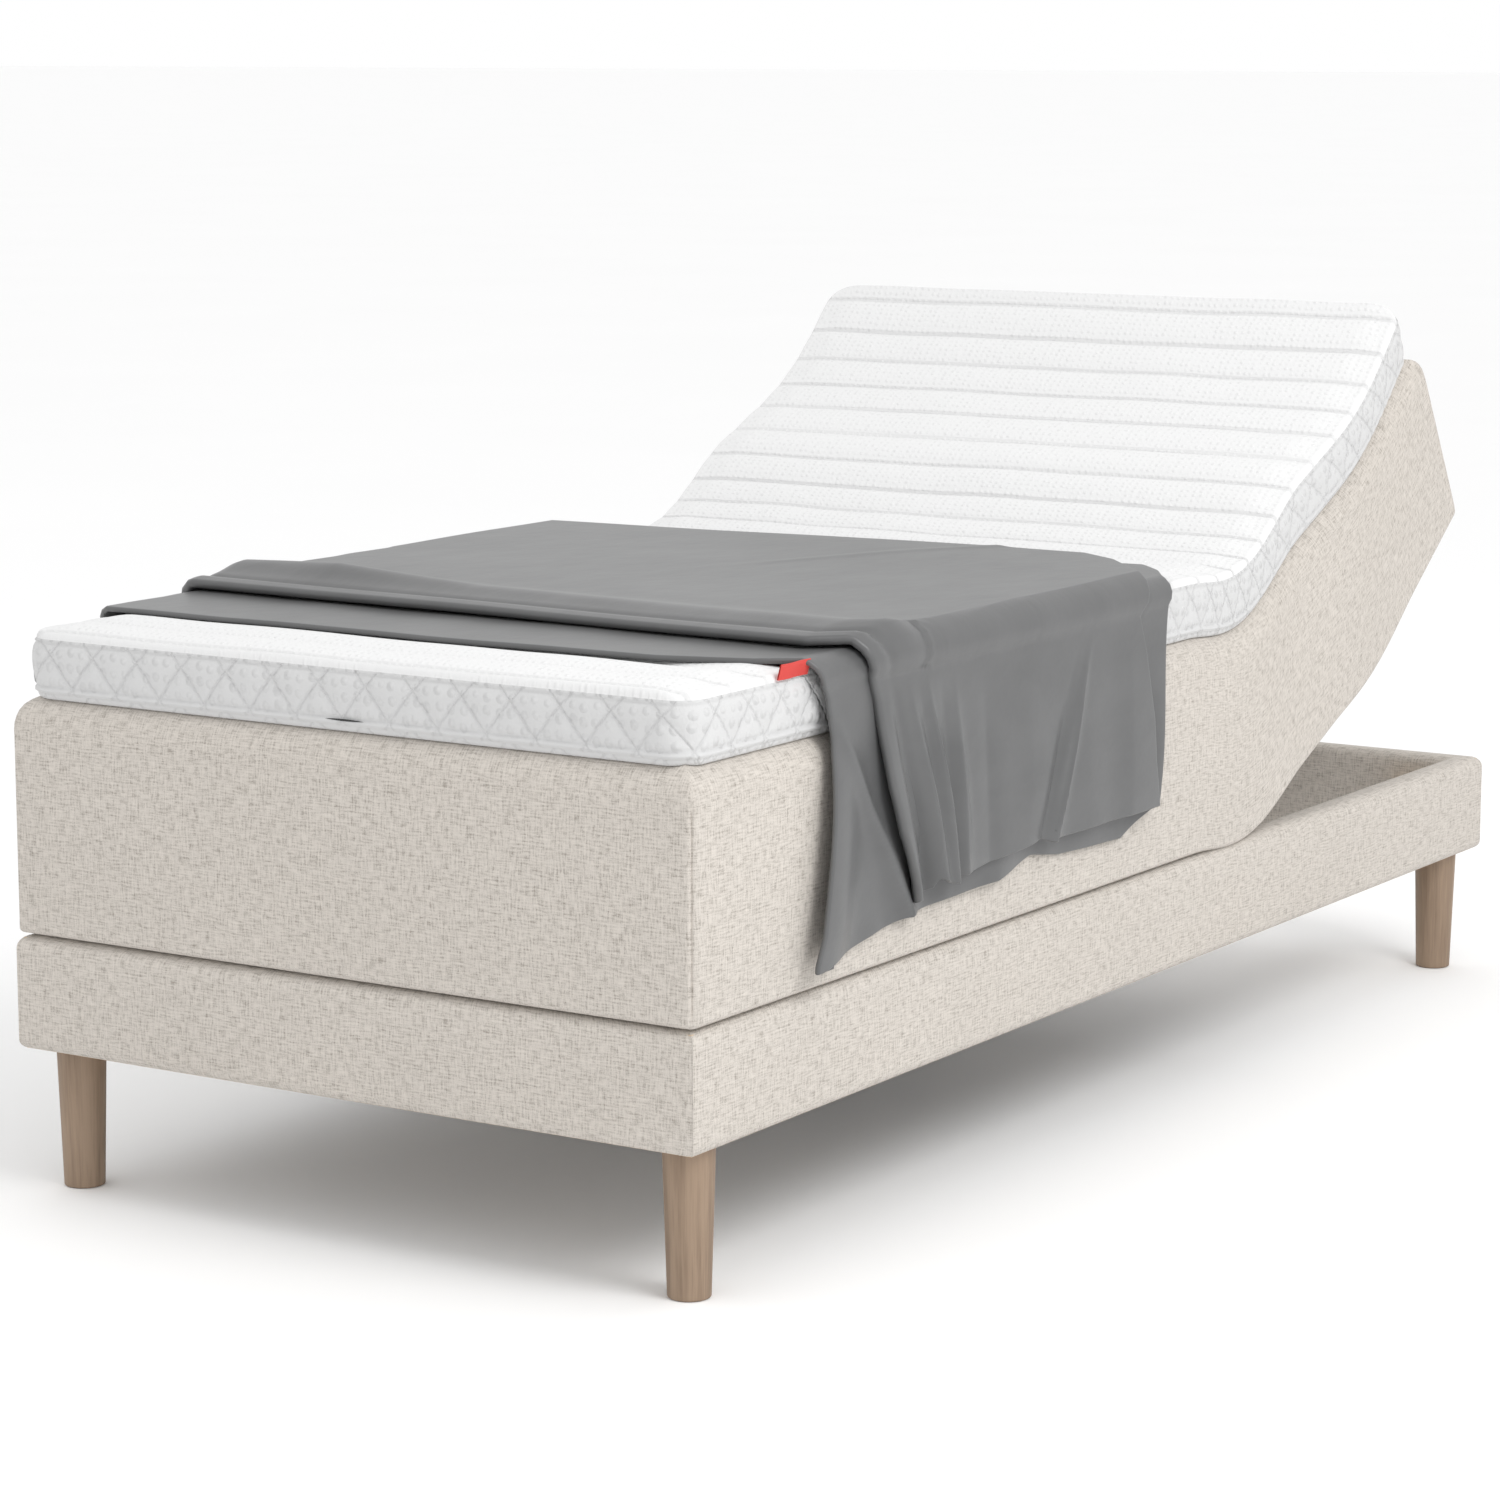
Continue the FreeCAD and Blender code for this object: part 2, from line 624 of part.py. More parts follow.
def save_actuator():
    """The head actuator, drawn in the back's flat position."""
    z = HINGE_Z - HORN
    y = BACK_Y + 40
    gearbox = box(ACTUATOR_X - 22, ACTUATOR_X + 22, y, y + 60, z - 18, z + 18)
    case = rod_y(y + 60, y + 230, ACTUATOR_X, z, 15)
    motor = Part.makeCylinder(16, 70, Vector(ACTUATOR_X - 22, y + 44, z), Vector(-1, 0, 0))
    body = join([gearbox, case, motor]).cut(rod_y(y + 70, y + 231, ACTUATOR_X, z, 9))
    save("neck_actuator", [body], at_back)

    swing = math.radians(HEAD_REST - HEAD_MOST / 2)
    eye_y = HEAD_Y + HORN * math.sin(swing)
    shaft = rod_y(y + 150, eye_y - 8, ACTUATOR_X, z, 8)
    eye = box(ACTUATOR_X - 7, ACTUATOR_X + 7, eye_y - 14, eye_y + 14, z - 12, z + 16)
    hole = ROLLER_PIN_R + 0.6
    x0, x1 = ACTUATOR_X - 8, ACTUATOR_X + 8
    low, high = z - 0.6, z + HORN * (1 - math.cos(math.radians(HEAD_MOST / 2))) + 0.6
    ends = [rod_x(x0, x1, eye_y, height, hole) for height in (low, high)]
    slot = join(ends + [box(x0, x1, eye_y - hole, eye_y + hole, low, high)])
    save("neck_rod", [join([shaft, eye]).cut(slot)], at_back)


# ---------------------------------------------------------------- throw
def throw():
    """One folded cloth over the foot half, hanging down both sides."""
    inner = HALF_WIDTH + 1
    outer = inner + THROW
    low = TOPPER_TOP + 0.5
    top = box(-outer, outer, THROW_Y[0], THROW_Y[1], low, low + THROW_TOP)
    side = plate_yz([(y, min(z, low)) for y, z in THROW_SIDE], inner, outer)
    link = box(inner, outer, THROW_SIDE[0][0], THROW_SIDE[-1][0], TOPPER_TOP - 1, low + 1)
    return join([top] + both_sides(side) + both_sides(link))


def main():
    os.makedirs("parts", exist_ok=True)
    sections = make_sections()
    outer, inner = unit_blocks()
    topper = topper_block()
    save_base()
    save_frames(sections)
    for section in sections:
        save_padding(section, outer, inner, topper)
    save("seat_hinge_pins", hinge_pin(THIGH_Y) + hinge_pin(BACK_Y))
    save("knee_hinge_pins", hinge_pin(KNEE_Y))
    save("head_hinge_pins", hinge_pin(HEAD_Y), at_back)
    save("thigh_flex", [flex((THIGH_Y, HINGE_Z), THIGH_MOST / 2, 0, 0)])
    save("back_flex", [flex((BACK_Y, HINGE_Z), BACK_MOST / 2, 0, BACK_REST)])
    save("head_flex", [flex(head_hinge_at_rest(), HEAD_MOST / 2, BACK_REST, BACK_REST + HEAD_REST)])
    save_lift_gear()
    save_drive()
    save_actuator()
    save("throw", [throw()])


main()
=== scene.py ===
"""The looks of the adjustable bed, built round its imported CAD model.

Lengths are in metres.
"""
import json
import math

import bpy
import numpy as np
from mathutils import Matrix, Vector


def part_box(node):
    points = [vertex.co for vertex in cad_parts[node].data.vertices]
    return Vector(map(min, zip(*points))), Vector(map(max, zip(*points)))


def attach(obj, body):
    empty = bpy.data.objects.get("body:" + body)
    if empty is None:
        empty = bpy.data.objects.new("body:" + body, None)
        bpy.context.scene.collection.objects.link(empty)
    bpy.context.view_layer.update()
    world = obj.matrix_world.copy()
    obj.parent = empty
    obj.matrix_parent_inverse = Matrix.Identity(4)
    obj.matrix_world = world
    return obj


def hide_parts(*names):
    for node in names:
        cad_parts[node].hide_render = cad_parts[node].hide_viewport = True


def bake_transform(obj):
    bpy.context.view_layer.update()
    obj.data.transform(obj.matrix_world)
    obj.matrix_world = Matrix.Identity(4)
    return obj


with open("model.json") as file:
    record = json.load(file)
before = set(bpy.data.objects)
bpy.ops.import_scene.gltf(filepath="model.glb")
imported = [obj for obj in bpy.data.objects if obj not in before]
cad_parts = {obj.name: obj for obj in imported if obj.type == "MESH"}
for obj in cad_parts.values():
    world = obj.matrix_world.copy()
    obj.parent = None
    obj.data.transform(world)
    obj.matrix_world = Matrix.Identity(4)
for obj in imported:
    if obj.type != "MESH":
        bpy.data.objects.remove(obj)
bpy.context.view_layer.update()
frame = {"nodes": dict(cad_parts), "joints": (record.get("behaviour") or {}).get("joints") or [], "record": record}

RNG_SEED = 7

# ---------------------------------------------------------------- the CAD's sizes
BASE_LOW, BASE_HIGH = (np.array(c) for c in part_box("base_cover"))
UNIT_LOW, UNIT_HIGH = (np.array(c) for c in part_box("calf_cover"))
TOP_LOW, TOP_HIGH = (np.array(c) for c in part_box("calf_topper"))
JOINTS = {j["name"]: j for j in frame["joints"]}
HEAD_END = float(BASE_HIGH[1])
RAIL = 0.038
HEAD_LEAN = math.tan(math.radians(4.5))
# a place past either end of the bed
BEYOND = 99.0


def hinge(name):
    """A hinge's (y, z) at rest, and how far in radians it is from flat."""
    joint = JOINTS[name]
    return np.array(joint["pos_m"][1:], float), -math.radians(joint["range_deg"][0])


BACK_AT, BACK_TURN = hinge("back_lift")
HEAD_AT, HEAD_TURN = hinge("head_tilt")
THIGH_AT, _ = hinge("thigh_lift")
KNEE_AT, _ = hinge("knee_bend")
# how far fabric takes to turn across each hinge, measured along the bed at rest
BACK_ZONE = (BACK_AT[0] - 0.15, BACK_AT[0] + 0.15)
HEAD_ZONE = (HEAD_AT[0] - 0.12, HEAD_AT[0] + 0.13)
THIGH_ZONE = (THIGH_AT[0] - 0.17, BACK_ZONE[0])
KNEE_ZONE = (KNEE_AT[0] - 0.18, THIGH_ZONE[0])
BACK_SPLIT = (BACK_ZONE[1] + HEAD_ZONE[0]) / 2
# name, bodies on the foot side and head side, zone, and where the stretch ends at rest
STRETCHES = [
    ("legs", "calf", "thigh", KNEE_ZONE, KNEE_ZONE[1]),
    ("seat", "thigh", "base", THIGH_ZONE, THIGH_ZONE[1]),
    ("back", "base", "back", BACK_ZONE, BACK_SPLIT),
    ("head", "back", "head", HEAD_ZONE, BEYOND),
]
# the throw ends over the seat, so it has no back and head stretches
THROW_STRETCHES = [
    ("legs", "calf", "thigh", KNEE_ZONE, KNEE_ZONE[1]),
    ("seat", "thigh", "base", THIGH_ZONE, BEYOND),
]

# ---------------------------------------------------------------- sizes of the soft pieces
# the top's channels, and the border's diamonds: width, slope, and height of a crossing
CHANNEL = 0.070
DIAMOND = 0.062
DIAMOND_SLOPE = 0.954
DIAMOND_ROW = 0.012
# the topper lies this far clear of the unit, and is that much thicker again
TOPPER_CLEAR = 0.0015
TOPPER_THICK = float(TOP_HIGH[2] - TOP_LOW[2]) + TOPPER_CLEAR
TOPPER_EDGE = 0.006
TOPPER_CORNER = 0.032
TOPPER_INSET = 0.013
TOPPER_STEP = 0.0062
TOPPER_DROOP = 0.007
DROOP_REACH = 0.035
UNIT_EDGE = 0.040
UNIT_FOOT_EDGE = 0.005
UNIT_CORNER = 0.010
UNIT_STEP = 0.011
WALL_ROWS = np.linspace(0, 1, 26)[1:-1]
LEAN_REACH = 0.25
# the rail's fabric: how far it hangs below the rail, and its mesh's step
RAIL_FABRIC = 0.0008
RAIL_STEP = 0.012
# where the throw hangs over: the side's x, the bend's radius, and the most it stands off
EDGE_X = 0.456
EDGE_R = 0.015
EDGE_ARC = EDGE_R * math.pi / 2
HEM_FOLD = 0.002
MOST_PROUD = 0.026


# ---------------------------------------------------------------- bending
def turn(points, pivot, angle):
    """(y, z) points turned about a pivot, each by its own angle."""
    y, z = points[:, 0] - pivot[0], points[:, 1] - pivot[1]
    c, s = np.cos(angle), np.sin(angle)
    return np.stack([pivot[0] + y * c - z * s, pivot[1] + y * s + z * c], 1)


HEAD_FLAT = turn(HEAD_AT[None], BACK_AT, np.array([-BACK_TURN]))[0]


def smooth(t):
    """A smooth step from 0 to 1."""
    t = np.clip(t, 0, 1)
    return t * t * (3 - 2 * t)


def ease(value, low, high):
    """A smooth step from 0 at low to 1 at high."""
    return smooth((value - low) / (high - low))


def ridge(value, centre, width):
    """A round bump of height 1."""
    return np.exp(-(((value - centre) / width) ** 2))


def pleat(value, centre, width):
    """Like a ridge, but pinched along its top."""
    return np.exp(-(np.abs((value - centre) / width) ** 1.4))


def share_turned(place, zone, count):
    """For each point the share w of the turn that agrees with where it then lies."""
    halvings = 40
    low, high = np.zeros(count), np.ones(count)
    for _ in range(halvings):
        middle = (low + high) / 2
        over = smooth((place(middle)[:, 0] - zone[0]) / (zone[1] - zone[0])) > middle
        low, high = np.where(over, middle, low), np.where(over, high, middle)
    return (low + high) / 2


def to_rest(flat):
    """Points of the flat bed, moved to the stored pose with back and head raised."""
    yz, count = flat[:, 1:], len(flat)

    def headed(w):
        return turn(turn(yz, HEAD_FLAT, w * HEAD_TURN), BACK_AT, np.full(count, BACK_TURN))

    w_head = share_turned(headed, HEAD_ZONE, count)
    bent = turn(yz, HEAD_FLAT, w_head * HEAD_TURN)
    w_back = share_turned(lambda w: turn(bent, BACK_AT, w * BACK_TURN), BACK_ZONE, count)
    w_head = np.where(w_back > 0.9999, w_head, 0)
    bent = turn(yz, HEAD_FLAT, w_head * HEAD_TURN)
    rest = turn(bent, BACK_AT, w_back * BACK_TURN)
    return np.column_stack([flat[:, 0], rest])


# ---------------------------------------------------------------- noise in numpy
def wobble(points, scale, seed):
    """Smooth value noise, about -1 to 1, at points in two or three dimensions."""
    rng = np.random.default_rng(RNG_SEED + seed)
    waves, height = 12, 1.8
    total = np.zeros(len(points))
    for _ in range(waves):
        direction = rng.normal(size=points.shape[1])
        direction *= rng.uniform(0.6, 1.6) / np.linalg.norm(direction) / scale
        total += np.sin(points @ direction * 2 * math.pi + rng.uniform(0, 2 * math.pi))
    return total / waves * height


# ---------------------------------------------------------------- meshes
class Shell:
    """A quad mesh being put together: points, faces, and each face's UVs and slot."""

    def __init__(self):
        self.points, self.faces, self.uvs, self.slots = [], [], [], []

    def add_grid(self, points, uv, slot, flip=False):
        """Adds a (rows, columns, 3) grid of new points and its quads."""
        rows, columns = points.shape[:2]
        start = sum(len(p) for p in self.points)
        self.points.append(points.reshape(-1, 3))
        index = start + np.arange(rows * columns).reshape(rows, columns)
        self.add_faces(index, uv, slot, flip)
        return index

    def add_faces(self, index, uv, slot, flip=False, wrap=False, wrap_uv=0.0):
        """Adds the quads of a grid of indices, closed round its columns if it wraps."""
        if wrap:
            index = np.concatenate([index, index[:, :1]], 1)
            last = uv[:, :1] + np.array([wrap_uv, 0.0])
            uv = np.concatenate([uv, last], 1)
        corners = [(0, 0), (0, 1), (1, 1), (1, 0)]
        if flip:
            corners = corners[::-1]
        rows, columns = index.shape
        faces = [index[r : rows - 1 + r, c : columns - 1 + c].reshape(-1) for r, c in corners]
        coords = [uv[r : rows - 1 + r, c : columns - 1 + c].reshape(-1, 2) for r, c in corners]
        self.faces.append(np.stack(faces, 1))
        self.uvs.append(np.stack(coords, 1))
        self.slots.append(np.full(len(faces[0]), slot))

    def arrays(self):
        return [np.concatenate(part) for part in (self.points, self.faces, self.uvs, self.slots)]


def mesh_object(name, points, faces, uvs, slots, materials, normals=None):
    """A smooth-shaded object with only the points that its faces use."""
    used, faces = np.unique(faces, return_inverse=True)
    faces = faces.reshape(-1, uvs.shape[1])
    mesh = bpy.data.meshes.new(name)
    mesh.from_pydata(points[used].tolist(), [], faces.tolist())
    layer = mesh.uv_layers.new(name="UVMap")
    layer.data.foreach_set("uv", uvs.reshape(-1).astype(np.float32))
    mesh.polygons.foreach_set("material_index", slots.astype(np.int32))
    mesh.polygons.foreach_set("use_smooth", np.ones(len(faces), bool))
    for material in materials:
        mesh.materials.append(material)
    mesh.update()
    if normals is not None:
        mesh.normals_split_custom_set_from_vertices(normals[used].tolist())
    piece = bpy.data.objects.new(name, mesh)
    bpy.context.scene.collection.objects.link(piece)
    return piece


def point_normals(points, faces):
    """Normals shared by a whole shell, so its stretches join without a crease."""
    a, b, c, d = (points[faces[:, k]] for k in range(4))
    across = np.cross(c - a, d - b)
    normals = np.zeros_like(points)
    for k in range(4):
        np.add.at(normals, faces[:, k], across)
    return normals / np.maximum(np.linalg.norm(normals, axis=1), 1e-12)[:, None]


def split_along_bed(name, shell, materials, stretches=STRETCHES, bent=True):
    """Bends a flat shell to rest and makes one piece of each stretch of it."""
    points, faces, uvs, slots = shell.arrays()
    rest = to_rest(points) if bent else points
    normals = point_normals(rest, faces)
    middle = rest[faces][:, :, 1].mean(1)
    pieces, start = {}, -BEYOND
    for stretch, foot_body, head_body, zone, end in stretches:
        chosen = (middle > start) & (middle <= end)
        start = end
        if not chosen.any():
            continue
        piece = mesh_object(
            f"{name}_{stretch}", rest, faces[chosen], uvs[chosen], slots[chosen], materials, normals
        )
        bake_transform(piece)
        pieces[stretch] = piece
    return pieces


def stations(low, high, radius, step, arc_steps=8):
    """Places from low to high, their tilt in the rounded ends, and the cloth's length."""
    count = max(2, round((high - low - 2 * radius) / step) + 1)
    inner = np.linspace(low + radius, high - radius, count)
    arc = np.radians(np.linspace(0, 90, arc_steps + 1)[1:])
    ends = radius * np.sin(arc)
    place = np.concatenate([low + radius - ends[::-1], inner, high - radius + ends])
    angle = np.concatenate([arc[::-1], np.zeros(len(inner)), arc])
    flat = np.concatenate([low + radius - radius * arc[::-1], inner, high - radius + radius * arc])
    return place, angle, flat


def round_plan(x, y, low, high, radius):
    """Square rings near the plan's corners, made into round ones."""
    ax = np.maximum(np.abs(x) - (high[0] - radius), 0)
    centre, half = (low[1] + high[1]) / 2, (high[1] - low[1]) / 2
    ay = np.maximum(np.abs(y - centre) - (half - radius), 0)
    away = np.hypot(ax, ay)
    scale = np.where((ax > 0) & (ay > 0), np.maximum(ax, ay) / np.maximum(away, 1e-12), 1.0)
    new_x = np.where(scale < 1, np.sign(x) * (high[0] - radius + ax * scale), x)
    new_y = np.where(scale < 1, centre + np.sign(y - centre) * (half - radius + ay * scale), y)
    return new_x, new_y


def rim_of(rows, columns):
    """The indices round the edge of a grid, anticlockwise seen from above."""
    first = [(0, c) for c in range(columns)]
    second = [(r, columns - 1) for r in range(1, rows)]
    third = [(rows - 1, c) for c in range(columns - 2, -1, -1)]
    fourth = [(r, 0) for r in range(rows - 2, 0, -1)]
    return np.array(first + second + third + fourth)


def rim_measures(ring, across, along):
    """For a rim's points: the outward direction, length round, whole length, corner gap."""
    tangent = np.roll(ring, -1, 0) - np.roll(ring, 1, 0)
    out = np.stack([tangent[:, 1], -tangent[:, 0], np.zeros(len(ring))], 1)
    out /= np.linalg.norm(out, axis=1)[:, None]
    length = np.concatenate([[0], np.cumsum(np.linalg.norm(np.diff(ring, axis=0), axis=1))])
    round_it = length[-1] + np.linalg.norm(ring[0] - ring[-1])
    sewn = length[np.cumsum([0, across - 1, along - 1, across - 1])]
    away = np.abs(length[:, None] - sewn[None])
    return out, length, round_it, np.minimum(away, round_it - away).min(1)


def droop_and_lean(points, low, high, droop, lean):
    """Lets the lower half of a box's border hang, and leans its head end."""
    if droop:
        middle_z = (low[2] + high[2]) / 2
        beside = np.minimum(high[0] - np.abs(points[:, 0]), points[:, 1] - low[1])
        below = np.clip((middle_z - points[:, 2]) / (middle_z - low[2]), 0, 1)
        points[:, 2] -= droop * below * (1 - ease(beside, 0, DROOP_REACH))
    if lean:
        past = np.clip((points[:, 1] - (high[1] - LEAN_REACH)) / LEAN_REACH, 0, 1)
        points[:, 1] += past * lean * (points[:, 2] - low[2])


def box_shell(
    low, high, edge, foot_edge, corner, step, proud, lean, droop=0.0, slots=(0, 0, 0), top_of=None
):
    """A padded box: rounded top and bottom edges, plan corners, and a shaped wall.

    proud(length, share, gap) is how far the wall stands out at a length round it, a
    share of the way down and a distance from the nearest corner. top_of(x, y) gives
    the top's relief and how far its stitching drifts along the bed. slots are the
    materials of the top, the wall and the bottom.
    """
    xs, phi_x, flat_x = stations(low[0], high[0], edge, step)
    ys, phi_y, flat_y = stations(low[1], high[1], edge, step)
    grid_x, grid_y = np.meshgrid(xs, ys)
    phi = np.maximum(*np.meshgrid(phi_x, phi_y))
    to_edge = edge * (1 - np.sin(phi))
    near_x, near_y = round_plan(grid_x, grid_y, low, high, corner)
    uv = np.stack(np.meshgrid(flat_x, flat_y), -1)
    top = np.stack([near_x, near_y, high[2] - edge * (1 - np.cos(phi))], -1)
    top_uv = uv
    if top_of is not None:
        relief, drift = top_of(near_x, near_y)
        top[..., 2] += relief * np.cos(phi)
        top_uv = np.stack([near_x, near_y + drift], -1)
    inside = np.maximum(foot_edge - to_edge, 0)
    below = low[2] + np.where(phi > 0, foot_edge - np.sqrt(np.maximum(foot_edge**2 - inside**2, 0)), 0)
    bottom = np.stack([near_x, near_y, below], -1)
    shell = Shell()
    top_index = shell.add_grid(top, top_uv, slots[0])
    bottom_index = shell.add_grid(bottom, uv, slots[2], flip=True)
    rim = rim_of(*grid_x.shape)
    ring = top[rim[:, 0], rim[:, 1]]
    out, length, round_it, gap = rim_measures(ring, len(xs), len(ys))
    z_top, z_low = high[2] - edge, low[2] + foot_edge
    heights = z_top + (z_low - z_top) * WALL_ROWS
    middle = np.array([ring + out * proud(length, share, gap)[:, None] for share in WALL_ROWS])
    middle[..., 2] = heights[:, None]
    start = sum(len(p) for p in shell.points)
    shell.points.append(middle.reshape(-1, 3))
    index = start + np.arange(len(WALL_ROWS) * len(ring)).reshape(len(WALL_ROWS), len(ring))
    whole = np.concatenate(
        [top_index[rim[:, 0], rim[:, 1]][None], index, bottom_index[rim[:, 0], rim[:, 1]][None]]
    )
    rows = np.concatenate([[z_top], heights, [z_low]]) - low[2]
    wall_uv = np.stack(np.broadcast_arrays(length[None, :], rows[:, None]), -1)
    shell.add_faces(whole, wall_uv, slots[1], flip=True, wrap=True, wrap_uv=round_it - length[-1])
    for points in shell.points:
        droop_and_lean(points, low, high, droop, lean)
    return shell


# ---------------------------------------------------------------- materials
def new_material(name):
    material = bpy.data.materials.new(name)
    material.use_nodes = True
    tree = material.node_tree
    tree.nodes.clear()
    output = tree.nodes.new("ShaderNodeOutputMaterial")
    shader = tree.nodes.new("ShaderNodeBsdfPrincipled")
    tree.links.new(shader.outputs[0], output.inputs[0])
    return material, tree, shader


class Nodes:
    """Short ways to add and join nodes."""

    def __init__(self, tree):
        self.tree = tree

    def add(self, kind, inputs=(), **settings):
        node = self.tree.nodes.new(kind)
        for key, value in settings.items():
            setattr(node, key, value)
        for key, value in dict(inputs).items():
            if isinstance(value, bpy.types.NodeSocket):
                self.tree.links.new(value, node.inputs[key])
            else:
                node.inputs[key].default_value = value
        return node

    def math(self, operation, a, b=0.0, clamp=False):
        node = self.add("ShaderNodeMath", {0: a, 1: b}, operation=operation)
        node.use_clamp = clamp
        return node.outputs[0]

    def mapping(self, vector, scale):
        return self.add("ShaderNodeMapping", {"Vector": vector, "Scale": scale}).outputs[0]

    def noise(self, vector, scale, detail=2.0, roughness=0.5):
        inputs = {"Vector": vector, "Scale": scale, "Detail": detail, "Roughness": roughness}
        return self.add("ShaderNodeTexNoise", inputs).outputs["Fac"]

    def ramp(self, value, stops):
        node = self.add("ShaderNodeValToRGB", {"Fac": value})
        while len(node.color_ramp.elements) < len(stops):
            node.color_ramp.elements.new(0.5)
        for element, (place, colour) in zip(node.color_ramp.elements, stops):
            element.position = place
            element.color = (*colour, 1.0)
        return node.outputs["Color"]

    def mix(self, share, a, b, blend="MIX"):
        node = self.add("ShaderNodeMix", {"Factor": share}, data_type="RGBA", blend_type=blend)
        for socket, value in (("A", a), ("B", b)):
            target = [s for s in node.inputs if s.name == socket and s.type == "RGBA"][0]
            if isinstance(value, bpy.types.NodeSocket):
                self.tree.links.new(value, target)
            else:
                target.default_value = (*value, 1.0)
        return [s for s in node.outputs if s.type == "RGBA"][0]

    def bump(self, height, strength, distance, normal=None):
        inputs = {"Height": height, "Strength": strength, "Distance": distance}
        if normal is not None:
            inputs["Normal"] = normal
        return self.add("ShaderNodeBump", inputs).outputs[0]


def linen(name, light, dark):
    """Melange linen: yarns of uneven shade running both ways in a plain weave."""
    material, tree, shader = new_material(name)
    nodes = Nodes(tree)
    place = nodes.add("ShaderNodeTexCoord").outputs["UV"]
    warp = nodes.noise(nodes.mapping(place, (470, 60, 60)), 1.0, 2, 0.6)
    weft = nodes.noise(nodes.mapping(place, (60, 470, 470)), 1.0, 2, 0.6)
    grain = nodes.noise(nodes.mapping(place, (800, 800, 800)), 1.0, 1, 0.5)
    cloud = nodes.noise(place, 5.0, 3, 0.5)
    yarns = nodes.math("ADD", nodes.math("MULTIPLY", warp, 0.39), nodes.math("MULTIPLY", weft, 0.39))
    melange = nodes.math("ADD", yarns, nodes.math("MULTIPLY", grain, 0.22))
    bright = tuple(1.14 * c for c in light)
    colour = nodes.ramp(melange, [(0.36, dark), (0.50, light), (0.62, bright)])
    shade = nodes.ramp(cloud, [(0.3, (0.97, 0.97, 0.97)), (0.7, (1.0, 1.0, 1.0))])
    colour = nodes.mix(1.0, colour, shade, "MULTIPLY")
    tree.links.new(colour, shader.inputs["Base Color"])
    yarn = {"Vector": place, "Scale": 95.0, "Distortion": 1.5}
    across = nodes.add("ShaderNodeTexWave", yarn)
    down = nodes.add("ShaderNodeTexWave", yarn, bands_direction="Y")
    weave = nodes.math("MULTIPLY", across.outputs["Fac"], down.outputs["Fac"])
    height = nodes.math("ADD", nodes.math("MULTIPLY", weave, 0.3), nodes.math("MULTIPLY", melange, 2.0))
    tree.links.new(nodes.bump(height, 0.5, 0.0012), shader.inputs["Normal"])
    shader.inputs["Roughness"].default_value = 0.92
    shader.inputs["Specular IOR Level"].default_value = 0.2
    shader.inputs["Sheen Weight"].default_value = 0.12
    shader.inputs["Sheen Roughness"].default_value = 0.5
    return material


def stitch_lines(nodes, place, diamonds):
    """0 on the quilting's stitch lines, rising to 1 a few millimetres beside them."""
    parts = nodes.add("ShaderNodeSeparateXYZ", {0: place})
    u, v = parts.outputs[0], parts.outputs[1]

    def wave(length, period):
        turn_share = nodes.math("MULTIPLY", length, math.pi / period)
        return nodes.math("ABSOLUTE", nodes.math("SINE", turn_share))

    if not diamonds:
        return nodes.math("MULTIPLY", wave(v, CHANNEL), 4.5, clamp=True)
    slant = nodes.math("MULTIPLY", nodes.math("SUBTRACT", v, DIAMOND_ROW), DIAMOND_SLOPE)
    first = wave(nodes.math("ADD", u, slant), DIAMOND)
    second = wave(nodes.math("SUBTRACT", u, slant), DIAMOND)
    return nodes.math("MULTIPLY", nodes.math("MINIMUM", first, second), 7.0, clamp=True)


def knit(name, colour, dots, diamonds, knob_rise, line_dip):
    """White topper knit: small raised dots on a fine jersey, sewn into quilting, with painted shade along the
    stitch lines.

    dots is how many stand in a metre, diamonds is the border's quilting in place of
    channels, and knob_rise and line_dip weigh the dots and the stitch lines.
    """
    material, tree, shader = new_material(name)
    nodes = Nodes(tree)
    place = nodes.add("ShaderNodeTexCoord").outputs["UV"]
    lines = stitch_lines(nodes, place, diamonds)
    jersey = nodes.noise(nodes.mapping(place, (500, 380, 380)), 1.0, 2, 0.5)
    spots = nodes.mapping(place, (dots, dots, dots))
    cell = nodes.add("ShaderNodeTexVoronoi", {"Vector": spots, "Scale": 1.0, "Randomness": 0.25})
    knob = nodes.math("MULTIPLY", cell.outputs["Distance"], 2.8, clamp=True)
    pucker = nodes.noise(nodes.mapping(place, (60, 60, 60)), 1.0, 2, 0.5)
    raised = nodes.math("MULTIPLY", knob, knob_rise)
    height = nodes.math("SUBTRACT", nodes.math("MULTIPLY", jersey, 0.22), raised)
    height = nodes.math("ADD", height, nodes.math("MULTIPLY", lines, line_dip))
    height = nodes.math("ADD", height, nodes.math("MULTIPLY", pucker, 0.5))
    tree.links.new(nodes.bump(height, 0.7, 0.0026), shader.inputs["Normal"])
    # the base colour is painted 4% darker on the stitch lines, as shade in their grooves
    soft = nodes.ramp(lines, [(0.0, tuple(c * 0.96 for c in colour)), (0.8, colour)])
    tree.links.new(soft, shader.inputs["Base Color"])
    shader.inputs["Roughness"].default_value = 0.85
    shader.inputs["Specular IOR Level"].default_value = 0.25
    shader.inputs["Sheen Weight"].default_value = 0.1
    return material


def tape(name, colour):
    """Plain woven binding tape."""
    material, tree, shader = new_material(name)
    nodes = Nodes(tree)
    place = nodes.add("ShaderNodeTexCoord").outputs["UV"]
    rib = nodes.noise(nodes.mapping(place, (900, 300, 300)), 1.0, 2, 0.6)
    tree.links.new(nodes.bump(rib, 0.3, 0.0006), shader.inputs["Normal"])
    shade = nodes.ramp(rib, [(0.3, tuple(c * 0.96 for c in colour)), (0.7, colour)])
    tree.links.new(shade, shader.inputs["Base Color"])
    shader.inputs["Roughness"].default_value = 0.8
    return material


